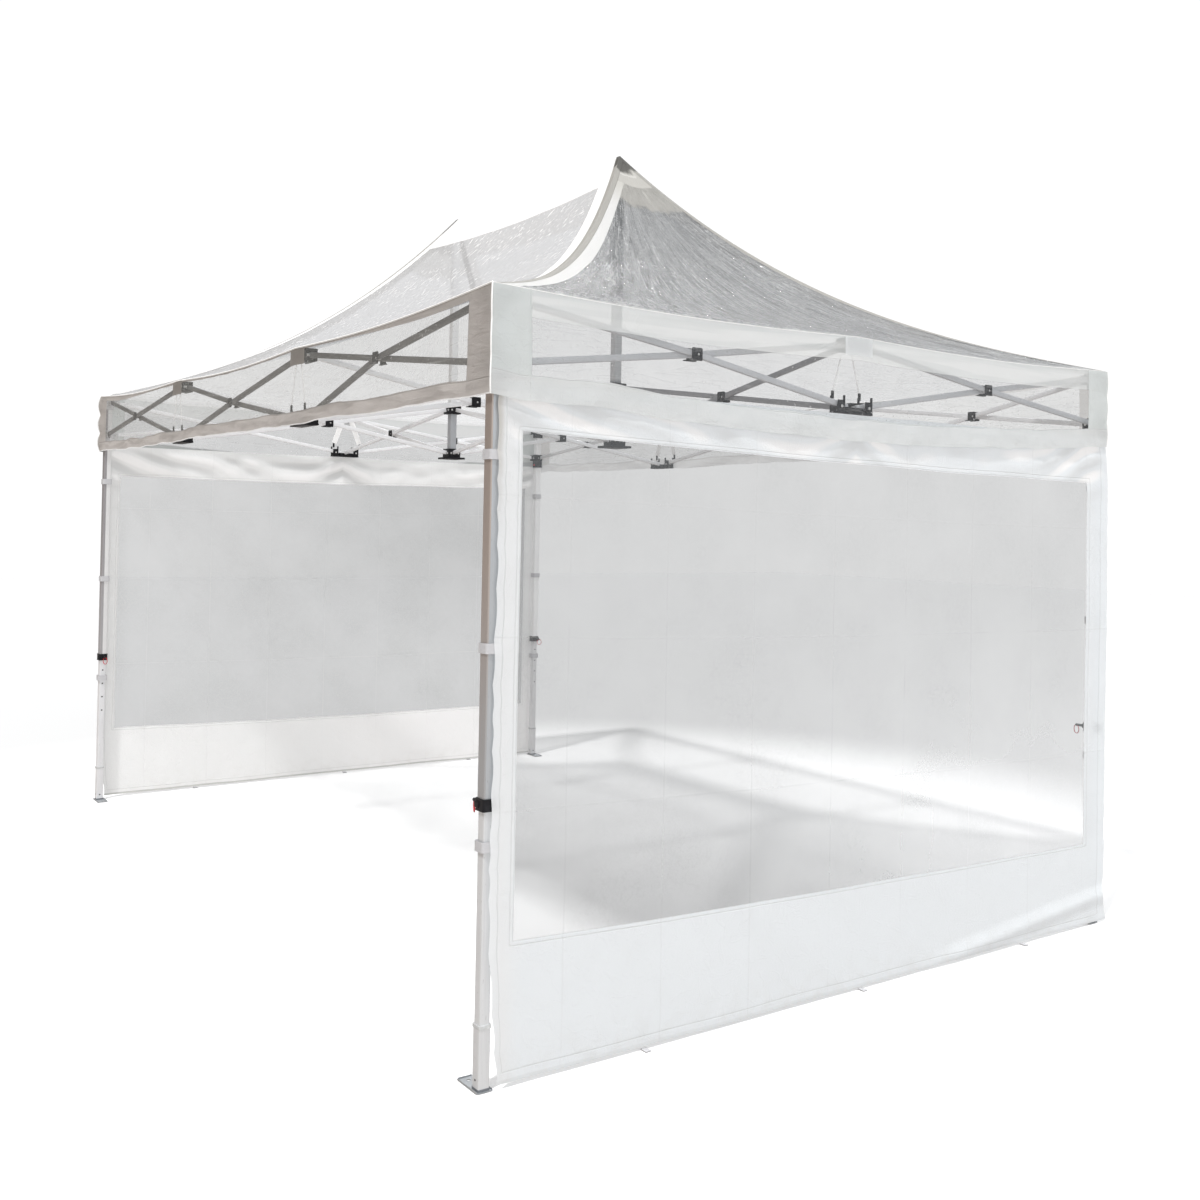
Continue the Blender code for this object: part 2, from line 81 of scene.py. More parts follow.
class Strand:
    """A value that runs through a finish. Sums written with it add the nodes that work them out."""

    def __init__(self, finish, socket):
        self.finish = finish
        self.socket = socket

    def other(self, output):
        """Another output of the node that this value comes from."""
        return Strand(self.finish, self.socket.node.outputs[output])

    def __add__(self, more):
        return self.finish.maths("ADD", self, more)

    def __radd__(self, more):
        return self.finish.maths("ADD", more, self)

    def __sub__(self, less):
        return self.finish.maths("SUBTRACT", self, less)

    def __rsub__(self, start):
        return self.finish.maths("SUBTRACT", start, self)

    def __mul__(self, times):
        return self.finish.maths("MULTIPLY", self, times)

    def __rmul__(self, times):
        return self.finish.maths("MULTIPLY", times, self)

    def __pow__(self, power):
        return self.finish.maths("POWER", self, power)

    def __abs__(self):
        return self.finish.maths("ABSOLUTE", self)

    def wave(self):
        return self.finish.maths("SINE", self)

    def within_one(self):
        return self.finish.maths("ADD", self, 0.0, clamp=True)

    def or_more(self, floor):
        return self.finish.maths("MAXIMUM", self, floor)

    def or_less(self, ceiling):
        return self.finish.maths("MINIMUM", self, ceiling)

    def rise(self, low, high):
        """0 below the low value and 1 above the high one, with a soft step between."""
        sides = {"Value": self, "From Min": low, "From Max": high}
        return self.finish.node("MapRange", {"interpolation_type": "SMOOTHSTEP"}, sides)

    def every(self, length):
        """How far the value is from the nearest whole number of lengths."""
        return self.finish.maths("PINGPONG", self, length / 2)

    def line(self, width):
        """A thin line where a noise value passes its middle."""
        return 1 - abs(self - 0.5).rise(0.0, width)


class Finish:
    """The look of one material, or of the sky, built from nodes."""

    def __init__(self, name, values=None, owner=None):
        self.owner = owner or bpy.data.materials.new(name)
        self.owner.use_nodes = True
        self.tree = self.owner.node_tree
        if values:
            self.feed(values)

    def node(self, kind, settings=None, inputs=None, output=0):
        made = self.tree.nodes.new("ShaderNode" + kind)
        for key, value in (settings or {}).items():
            setattr(made, key, value)
        self.plug(made, inputs or {})
        return Strand(self, made.outputs[output])

    def plug(self, node, inputs):
        for key, value in inputs.items():
            if isinstance(value, Strand):
                self.tree.links.new(value.socket, node.inputs[key])
            elif isinstance(value, tuple) and len(node.inputs[key].default_value) == 4:
                node.inputs[key].default_value = (*value, 1.0)
            else:
                node.inputs[key].default_value = value

    def feed(self, inputs):
        """Sets or links sockets of the finish's own shader."""
        self.plug(self.tree.nodes["Principled BSDF"], inputs)

    def maths(self, operation, *values, clamp=False):
        settings = {"operation": operation, "use_clamp": clamp}
        return self.node("Math", settings, dict(enumerate(values)))

    def mix(self, share, first, second):
        """A colour between two."""
        return self.node("Mix", {"data_type": "RGBA"}, {0: share, 6: first, 7: second}, 2)

    def spot(self, stretch=(1.0, 1.0, 1.0), uv=None, turn=(0.0, 0.0, 0.0)):
        """Where a point lies: on the piece in metres, or in its own UV map."""
        source = self.node("UVMap", {"uv_map": uv}) if uv else self.node("TexCoord", output="Object")
        return self.node("Mapping", None, {"Vector": source, "Scale": stretch, "Rotation": turn})

    def grain(self, spot, scale, detail=2.0, distortion=0.0):
        inputs = {"Vector": spot, "Scale": scale, "Detail": detail, "Distortion": distortion}
        return self.node("TexNoise", None, inputs)

    def stored(self, name):
        """A distance kept on the piece's own points."""
        return self.node("Attribute", {"attribute_name": name}, output="Fac")

    def bump(self, height, depth):
        return self.node("Bump", None, {"Height": height, "Distance": depth, "Strength": 1.0})

    def let_through(self, share, colour, alpha=1.0):
        """Passes part of the light on to the other side, as thin cloth and film do."""
        passed = self.node("BsdfTranslucent", None, {"Color": colour})
        passed = self.node("MixShader", None, {0: alpha, 1: self.node("BsdfTransparent"), 2: passed})
        surface = Strand(self, self.tree.nodes["Principled BSDF"].outputs[0])
        both = self.node("MixShader", None, {0: share, 1: surface, 2: passed})
        self.plug(self.tree.nodes["Material Output"], {"Surface": both})


back_level = Vector((math.sin(EYE_TURN), -math.cos(EYE_TURN), 0.0))
back = back_level * math.cos(EYE_TILT) + Vector((0.0, 0.0, math.sin(EYE_TILT)))
level = Vector((math.cos(EYE_TURN), math.sin(EYE_TURN), 0.0))
upright = back.cross(level)
right = level * math.cos(EYE_ROLL) + upright * math.sin(EYE_ROLL)
up = upright * math.cos(EYE_ROLL) - level * math.sin(EYE_ROLL)
camera = bpy.data.objects.new("camera", bpy.data.cameras.new("camera"))
camera.matrix_world = Matrix.Translation(EYE) @ Matrix((right, up, back)).transposed().to_4x4()
camera.data.lens = FOCAL_MM
camera.data.sensor_width = SENSOR_MM
camera.data.shift_y = PICTURE_SHIFT
camera.data.clip_end = 200.0
bpy.context.scene.collection.objects.link(camera)
bpy.context.scene.camera = camera
bpy.context.scene.view_settings.view_transform = "Standard"

SKY_SIDE = (0.60, 0.62, 0.64)
SKY_FRONT = (0.24, 0.20, 0.17)
SKY_RIGHT = (0.98, 1.01, 1.03)
SKY_TOP = (0.98, 0.99, 1.0)
SKY_SEEN = (1.05, 1.05, 1.05)
KEY_TOWARDS = (0.25, -0.58, 1.0)
GLINT_TOWARDS = (-0.6, 0.5, 0.6)

sky = Finish("sky", owner=bpy.data.worlds.new("sky"))
direction = sky.node("TexCoord", output="Generated")
towards_right = sky.node("SeparateXYZ", None, {"Vector": direction}, "X")
towards_back = towards_right.other("Y")
tint = sky.mix((-1.0 * towards_back - 0.4 * towards_right).rise(-0.1, 0.75), SKY_SIDE, SKY_FRONT)
tint = sky.mix((towards_right - 0.3 * abs(towards_back)).rise(0.3, 0.9), tint, SKY_RIGHT)
tint = sky.mix(towards_right.other("Z").rise(0.5, 0.95), tint, SKY_TOP)
seen = sky.node("LightPath", output="Is Camera Ray")
sky.plug(sky.tree.nodes["Background"], {"Color": sky.mix(seen, tint, SKY_SEEN)})
bpy.context.scene.world = sky.owner


def add_sun(name, towards, strength, spread, colour=(1.0, 1.0, 1.0)):
    """A distant light that shines from the given direction, as soft as its spread in degrees."""
    light = bpy.data.lights.new(name, "SUN")
    light.energy = strength
    light.angle = math.radians(spread)
    light.color = colour
    lamp = bpy.data.objects.new(name, light)
    lamp.rotation_euler = Vector(towards).to_track_quat("Z", "Y").to_euler()
    bpy.context.scene.collection.objects.link(lamp)
    return lamp


key = add_sun("key_light", KEY_TOWARDS, 2.5, 4.0)
key.visible_glossy = False
for name, towards, strength in (("top_fill", (0.0, 0.0, 1.0), 0.7), ("right_fill", (1.0, 0.0, 0.15), 1.0)):
    fill = add_sun(name, towards, strength, 60.0)
    fill.visible_glossy = False
    fill.data.use_shadow = False
glint = add_sun("glint_light", GLINT_TOWARDS, 0.4, 2.0)
glint.visible_diffuse = False

floor_shape = bmesh.new()
bmesh.ops.create_grid(floor_shape, x_segments=1, y_segments=1, size=FLOOR_HALF)
bmesh.ops.translate(floor_shape, vec=(0.0, 0.0, -FLOOR_DROP), verts=floor_shape.verts)
floor_mesh = bpy.data.meshes.new("floor")
floor_shape.to_mesh(floor_mesh)
floor_shape.free()
studio_white = Finish("studio_white", {"Roughness": 0.9, "Specular IOR Level": 0.0})
floor_x = studio_white.node("SeparateXYZ", None, {"Vector": studio_white.spot()}, "X")
from_middle = (floor_x * floor_x + floor_x.other("Y") * floor_x.other("Y")) ** 0.5
white = studio_white.mix(from_middle.rise(*FLOOR_FADE), FLOOR_SEEN, FLOOR_SEEN_FAR)
looked_at = studio_white.node("LightPath", output="Is Camera Ray")
studio_white.feed({"Base Color": studio_white.mix(looked_at, FLOOR_BOUNCE, white)})
floor_mesh.materials.append(studio_white.owner)
floor = bpy.data.objects.new("floor", floor_mesh)
bpy.context.scene.collection.objects.link(floor)

# Legs
# Each leg is a square aluminium tube with rounded corners, anodised a dull silver, and a slimmer tube
# slides in it. Below is a foot sleeve with a plastic rim, on a pressed steel plate that takes a peg.

LEG_TUBE = 0.040
LEG_RADIUS = 0.0042
INNER_TUBE = 0.034
INNER_TOP_Z = 1.50
SLEEVE_TUBE = 0.038
SLEEVE_TOP_Z = 0.190
RIM_TALL = 0.010
RIM_ACROSS = 0.0425
HEEL_TALL = 0.009
FOOT_IN = 0.095
FOOT_OUT = 0.026
FOOT_HALF_Y = 0.027
FOOT_THICK = 0.0022
FOOT_LIP = 0.006
PEG_HOLE_R = 0.006
PEG_HOLE_IN = 0.070
SETTING_HOLE_R = 0.0042
SETTING_HOLES_Z = (0.745, 0.668, 0.592, 0.515)
OPEN_BODY = "canopy_frame"
CORNERS = {
    f"{depth}_{side}": (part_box(f"outer_leg_{depth}_{side}")[0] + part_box(f"outer_leg_{depth}_{side}")[1]) / 2
    for depth in ("front", "back") for side in ("left", "right")
}
# The front faces of the two front legs are painted with shade, the near one also with a warm reflection.
PAINTED_SHADE_HEIGHTS = (0.9, 1.6)
NEAR_SHADE_Y = CORNERS["front_right"].y - LEG_TUBE / 2 + 0.005
NEAR_FACE_SHADE = (NEAR_SHADE_Y, PAINTED_SHADE_HEIGHTS, (0.42, 0.42, 0.425), (0.47, 0.40, 0.355))
FAR_FACE_SHADE = (CORNERS["front_left"].y - 0.005, PAINTED_SHADE_HEIGHTS, (0.33, 0.32, 0.33), (0.27, 0.255, 0.265))


def drawn_metal(name, bright, dull, gloss, metallic, painted_shade=None):
    """Drawn aluminium: fine lines along the tube, cloudy dulling and handling marks. Painted shade covers the
    side towards the front of a line, and its tone turns from one to another between two heights."""
    metal = Finish(name, {"Metallic": metallic, "Specular IOR Level": 0.4})
    lines = metal.grain(metal.spot((5.0, 420.0, 1.0), uv="run"), 1.0, 3.0)
    cloud = metal.grain(metal.spot(), 7.0, 4.0)
    scuff = metal.grain(metal.spot((40.0, 160.0, 1.0), uv="run"), 1.0, 2.0).rise(0.66, 0.74)
    colour = metal.mix((lines * 0.6 + cloud * 0.5).rise(0.35, 0.8), dull, bright)
    colour = metal.mix(scuff * 0.35, colour, (0.34, 0.33, 0.32))
    # Painted shade: the side in front of a line takes another tone, which turns between two heights.
    if painted_shade:
        shade_edge_y, heights, low_tone, high_tone = painted_shade
        across = metal.node("SeparateXYZ", None, {"Vector": metal.spot()}, "Y")
        shaded_share = (1 - across.rise(shade_edge_y, shade_edge_y + 0.0012)) * (0.8 + lines * 0.2)
        colour = metal.mix(shaded_share, colour, metal.mix(across.other("Z").rise(*heights), low_tone, high_tone))
    metal.feed({
        "Base Color": colour,
        "Roughness": gloss + cloud * 0.16 + scuff * 0.2,
        "Normal": metal.bump(lines * 0.7 + cloud * 0.3, 0.00015),
    })
    return metal.owner


def fresh(shape, before):
    """The points that were added since the others were noted."""
    return [vert for vert in shape.verts if vert not in before]


def edges_of(verts):
    """The edges at some points, each once, in the order in which they are met."""
    return list(dict.fromkeys(edge for vert in verts for edge in vert.link_edges))


def faces_of(verts):
    return list(dict.fromkeys(face for vert in verts for face in vert.link_faces))


def lay_run(shape, verts, along, around):
    """Stores how far each point lies along and around a tube or a band, in metres."""
    layer = shape.loops.layers.uv.get("run") or shape.loops.layers.uv.new("run")
    for face in faces_of(verts):
        for loop in face.loops:
            loop[layer].uv = (loop.vert.co.dot(Vector(along)), loop.vert.co.dot(Vector(around)))


def add_block(shape, corner, opposite, ease=0.001, segments=2, upright_only=False):
    """Adds a box between two opposite corners, with all its edges rounded or only the upright ones."""
    low = Vector([min(pair) for pair in zip(corner, opposite)])
    high = Vector([max(pair) for pair in zip(corner, opposite)])
    before = set(shape.verts)
    made = bmesh.ops.create_cube(shape, size=1.0)["verts"]
    bmesh.ops.scale(shape, vec=high - low, verts=made)
    bmesh.ops.translate(shape, vec=(high + low) / 2, verts=made)
    edges = edges_of(made)
    if upright_only:
        edges = [edge for edge in edges if abs(edge.verts[0].co.z - edge.verts[1].co.z) > 1e-6]
    bmesh.ops.bevel(
        shape, geom=edges, offset=ease, affect="EDGES", segments=segments, profile=0.5, material=-1
    )
    return fresh(shape, before)


def add_post(shape, across, low, high, radius=LEG_RADIUS, centre=(0.0, 0.0)):
    """Adds an upright square bar with rounded corners."""
    half = across / 2
    corner = Vector((centre[0], centre[1], 0.0))
    verts = add_block(
        shape, corner + Vector((-half, -half, low)), corner + Vector((half, half, high)), radius, 4, True
    )
    lay_run(shape, verts, (0, 0, 1), (1, 1, 0))
    return verts


def add_rod(shape, start, end, radius, sides=16, ease=0.0):
    """Adds a round rod between two points, with eased ends."""
    start, end = Vector(start), Vector(end)
    before = set(shape.verts)
    made = bmesh.ops.create_cone(
        shape, cap_ends=True, segments=sides, radius1=radius, radius2=radius, depth=(end - start).length
    )["verts"]
    if ease:
        rims = [edge for edge in edges_of(made) if abs(edge.verts[0].co.z - edge.verts[1].co.z) < 1e-6]
        bmesh.ops.bevel(
            shape, geom=rims, offset=ease, affect="EDGES", segments=2, profile=0.5, material=-1
        )
    verts = fresh(shape, before)
    turn = Vector((0, 0, 1)).rotation_difference(end - start).to_matrix()
    bmesh.ops.rotate(shape, matrix=turn, verts=verts)
    bmesh.ops.translate(shape, vec=(start + end) / 2, verts=verts)
    return verts


def add_holed_plate(shape, half_long, half_wide, hole_at, hole_r, thick, placed, square=0.22, sides=32):
    """Adds a flat plate with rounded corners and one round hole, in its own XY plane, then moves it."""
    before = set(shape.verts)
    outer = bmesh.ops.create_circle(shape, segments=sides, radius=1.0)["verts"]
    for vert in outer:
        x, y = vert.co.x, vert.co.y
        vert.co.x = half_long * math.copysign(abs(x) ** square, x)
        vert.co.y = half_wide * math.copysign(abs(y) ** square, y)
    inner = bmesh.ops.create_circle(shape, segments=sides, radius=hole_r)["verts"]
    bmesh.ops.translate(shape, vec=(hole_at[0], hole_at[1], 0.0), verts=inner)
    flat = bmesh.ops.bridge_loops(shape, edges=edges_of(outer + inner))["faces"]
    grown = bmesh.ops.extrude_face_region(shape, geom=flat, use_keep_orig=True)["geom"]
    lifted = [item for item in grown if isinstance(item, bmesh.types.BMVert)]
    bmesh.ops.translate(shape, vec=(0.0, 0.0, thick), verts=lifted)
    verts = fresh(shape, before)
    bmesh.ops.transform(shape, matrix=placed, verts=verts)
    return verts


def add_band(shape, outer, thick, low, high, radius):
    """Adds a square band with rounded corners, open at the top and below."""
    before = set(shape.verts)
    add_block(shape, (-outer / 2, -outer / 2, low), (outer / 2, outer / 2, high), radius, 4, True)
    faces = faces_of(fresh(shape, before))
    caps = [face for face in faces if abs(face.normal.z) > 0.9]
    bmesh.ops.delete(shape, geom=caps, context="FACES")
    walls = [face for face in faces if face.is_valid]
    bmesh.ops.solidify(shape, geom=walls, thickness=thick)
    verts = fresh(shape, before)
    lay_run(shape, verts, (1, 1, 0), (0, 0, 1))
    return verts


def add_piece(name, shape, material, body=OPEN_BODY, replaces=(), smooth=40.0):
    """Turns a bmesh into a finished piece that rides on its body."""
    bmesh.ops.recalc_face_normals(shape, faces=shape.faces)
    mesh = bpy.data.meshes.new(name)
    shape.to_mesh(mesh)
    shape.free()
    mesh.materials.append(material)
    mesh.shade_smooth()
    mesh.set_sharp_from_angle(angle=math.radians(smooth))
    piece = bpy.data.objects.new(name, mesh)
    bpy.context.scene.collection.objects.link(piece)
    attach(piece, body)
    if replaces:
        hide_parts(*replaces)
    return piece


def shift_all(shape, place):
    bmesh.ops.translate(shape, vec=(place[0], place[1], 0.0), verts=shape.verts)


# Lit and shaded copies of one aluminium: near leg and slide painted as in shade, back left leg as if sunlit.
leg_metals = {
    "front_left": drawn_metal(
        "far_leg_aluminium", (0.78, 0.78, 0.78), (0.70, 0.70, 0.70), 0.36, 0.3, FAR_FACE_SHADE
    ),
    "front_right": drawn_metal(
        "shaded_near_leg_aluminium", (0.52, 0.54, 0.56), (0.46, 0.48, 0.50), 0.34, 0.6, NEAR_FACE_SHADE
    ),
    "back_left": drawn_metal("sunlit_leg_aluminium", (0.95, 0.955, 0.96), (0.88, 0.885, 0.89), 0.4, 0.1),
    "back_right": drawn_metal("leg_aluminium", (0.74, 0.74, 0.745), (0.64, 0.64, 0.645), 0.36, 0.4),
}
slide_metal = drawn_metal("inner_leg_aluminium", (0.84, 0.845, 0.86), (0.74, 0.745, 0.76), 0.36, 0.4)
shaded_slide_metal = drawn_metal("shaded_near_inner_leg_aluminium", (0.73, 0.74, 0.75), (0.64, 0.65, 0.66), 0.36, 0.4)

pressed_steel = Finish("pressed_steel", {"Metallic": 0.8})
mottle = pressed_steel.grain(pressed_steel.spot(), 60.0, 3.0)
pressed_steel.feed({"Base Color": pressed_steel.mix(mottle, (0.42, 0.44, 0.46), (0.62, 0.64, 0.66))})
pressed_steel.feed({"Roughness": 0.3 + 0.3 * mottle, "Normal": pressed_steel.bump(mottle, 0.0002)})

for corner, place in CORNERS.items():
    low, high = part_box(f"outer_leg_{corner}")
    tube = bmesh.new()
    add_post(tube, LEG_TUBE, low.z, high.z)
    shift_all(tube, place)
    add_piece(f"leg_tube_{corner}", tube, leg_metals[corner], replaces=[f"outer_leg_{corner}"])

    lower_body = f"lower_leg_{corner}"
    inward = -math.copysign(1, place.x)
    slider = bmesh.new()
    add_post(slider, INNER_TUBE, SLEEVE_TOP_Z - 0.02, INNER_TOP_Z, 0.0036)
    add_post(slider, SLEEVE_TUBE, HEEL_TALL - 0.004, SLEEVE_TOP_Z - RIM_TALL / 2)
    shift_all(slider, place)
    metal = shaded_slide_metal if corner == "front_right" else slide_metal
    add_piece(
        f"sliding_tube_{corner}", slider, metal, lower_body, [f"inner_leg_{corner}"]
    )

    foot = bmesh.new()
    middle = inward * (FOOT_IN - FOOT_OUT) / 2
    half_long = (FOOT_IN + FOOT_OUT) / 2
    hole_at = (inward * PEG_HOLE_IN - middle, 0.0)
    plate_at = Matrix.Translation((middle, 0, 0))
    add_holed_plate(foot, half_long, FOOT_HALF_Y, hole_at, PEG_HOLE_R, FOOT_THICK, plate_at, 0.14)
    for way in (-1, 1):
        edge = way * (FOOT_HALF_Y - FOOT_THICK / 2)
        add_block(
            foot,
            (middle - half_long + 0.004, edge - FOOT_THICK / 2, 0.0004),
            (middle + half_long - 0.004, edge + FOOT_THICK / 2, FOOT_LIP),
            0.0008,
        )
    far_end = middle + inward * (half_long - FOOT_THICK)
    add_block(
        foot,
        (far_end - FOOT_THICK / 2, -FOOT_HALF_Y + 0.004, 0.0004),
        (far_end + FOOT_THICK / 2, FOOT_HALF_Y - 0.004, FOOT_LIP),
        0.0008,
    )
    shift_all(foot, place)
    add_piece(f"foot_plate_{corner}", foot, pressed_steel.owner, lower_body)

# Black fittings
# The clamps, corner heads and sliders are moulded in black nylon with eased edges. The pair on the front
# left leg is painted pale grey, as if lit. Each clamp has a spring pin with a red ring, and each slider
# a red release button.

CLAMP_ACROSS = 0.048
CLAMP_SHORTER = 0.002
CLAMP_LIP = 0.004
KNOB_R = 0.010
KNOB_OUT = 0.022
RING_R = 0.018
RING_WIRE = 0.0034
RING_OUT = 0.070
BUTTON_R = 0.007
COLLAR_ACROSS = 0.050
HEAD_PIVOT_Z = 2.289
SLIDER_PIVOT_Z = 2.100
FORK_LONG = 0.034
FORK_PLATE = 0.004
FORK_HALF_TALL = 0.0195
BAR_TALL = 0.021
BAR_THICK = 0.0132
BAR_OFFSET = 0.0065
BOLT_R = 0.0055


def moulded_nylon(name, colour, gloss):
    """Moulded nylon with a fine spark grain, a little dust, and a paler worn patch here and there."""
    nylon = Finish(name, {"Specular IOR Level": 0.3})
    spark = nylon.grain(nylon.spot(), 900.0, 2.0)
    dust = nylon.grain(nylon.spot(), 45.0, 4.0).rise(0.5, 0.8)
    paler = tuple(min(1.0, part * 1.5 + 0.02) for part in colour)
    nylon.feed({"Base Color": nylon.mix(dust * 0.5, colour, paler)})
    nylon.feed({"Roughness": gloss + dust * 0.2, "Normal": nylon.bump(spark, 0.00012)})
    return nylon.owner


black_nylon = moulded_nylon("black_nylon", (0.007, 0.007, 0.009), 0.45)
# Black nylon painted pale grey, as if lit, for the front left leg's head and slider.
painted_lit_nylon = moulded_nylon("painted_lit_nylon", (0.55, 0.55, 0.56), 0.45)
heel_nylon = moulded_nylon("heel_nylon", (0.16, 0.17, 0.185), 0.4)
pale_nylon = moulded_nylon("pale_rim_nylon", (0.52, 0.53, 0.53), 0.5)
red_nylon = moulded_nylon("red_nylon", (0.50, 0.035, 0.045), 0.4)

bright_zinc = Finish("bright_zinc", {"Metallic": 0.9})
bright_mottle = bright_zinc.grain(bright_zinc.spot(), 220.0, 3.0)
bright_zinc.feed({"Base Color": bright_zinc.mix(bright_mottle, (0.62, 0.62, 0.60), (0.85, 0.85, 0.84))})
bright_zinc.feed({"Roughness": 0.22 + 0.25 * bright_mottle})
bright_zinc.feed({"Normal": bright_zinc.bump(bright_mottle, 0.0001)})


def add_hoop(shape, radius, wire, placed, steps=28, sides=8):
    """Adds a round wire ring in its own XY plane, then moves it."""
    before = set(shape.verts)
    loop = bmesh.ops.create_circle(shape, segments=sides, radius=wire / 2)["verts"]
    bmesh.ops.rotate(shape, matrix=Matrix.Rotation(math.pi / 2, 3, "X"), verts=loop)
    bmesh.ops.translate(shape, vec=(radius, 0.0, 0.0), verts=loop)
    geom = loop + edges_of(loop)
    bmesh.ops.spin(
        shape, geom=geom, cent=(0, 0, 0), axis=(0, 0, 1), angle=math.tau, steps=steps, use_merge=True
    )
    verts = fresh(shape, before)
    bmesh.ops.transform(shape, matrix=placed, verts=verts)
    return verts


class Line:
    """A truss line: a point lies at a distance along it, to one side of it and at a height."""

    def __init__(self, origin, along_x):
        self.origin = Vector((origin[0], origin[1], 0.0))
        self.along = Vector((1, 0, 0)) if along_x else Vector((0, 1, 0))
        self.across = Vector((0, 1, 0)) if along_x else Vector((1, 0, 0))
        columns = (self.along, self.across, Vector((0, 0, 1)))
        self.matrix = Matrix.Translation(self.origin) @ Matrix(columns).transposed().to_4x4()

    def set_down(self, shape, verts=None):
        bmesh.ops.transform(shape, matrix=self.matrix, verts=verts or shape.verts)


def bar_side(place, is_high):
    """Falling bars lie on one side of the truss line and rising ones on the other."""
    return BAR_OFFSET if (place < 0) == is_high else -BAR_OFFSET


def add_fork(shape, bolts, place, along_x, pivot_z, side):
    """Adds the two cheeks that hold a bar's end on a leg fitting, and the bolt through them."""
    line = Line(place, along_x)
    way = -math.copysign(1, place[0] if along_x else place[1])
    before = set(shape.verts)
    near, far = way * (COLLAR_ACROSS / 2 - 0.002), way * (COLLAR_ACROSS / 2 + FORK_LONG)
    for cheek in (-1, 1):
        inner = side + cheek * (BAR_THICK / 2 + 0.0004)
        outer = side + cheek * (BAR_THICK / 2 + 0.0004 + FORK_PLATE)
        low_z, high_z = pivot_z - FORK_HALF_TALL, pivot_z + FORK_HALF_TALL
        add_block(shape, (near, inner, low_z), (far, outer, high_z), 0.0012)
    line.set_down(shape, fresh(shape, before))
    before = set(bolts.verts)
    middle = way * (COLLAR_ACROSS / 2 + FORK_LONG * 0.6)
    reach = BAR_THICK / 2 + FORK_PLATE + 0.003
    add_rod(bolts, (middle, side - reach, pivot_z), (middle, side + reach, pivot_z), BOLT_R, 12, 0.001)
    line.set_down(bolts, fresh(bolts, before))


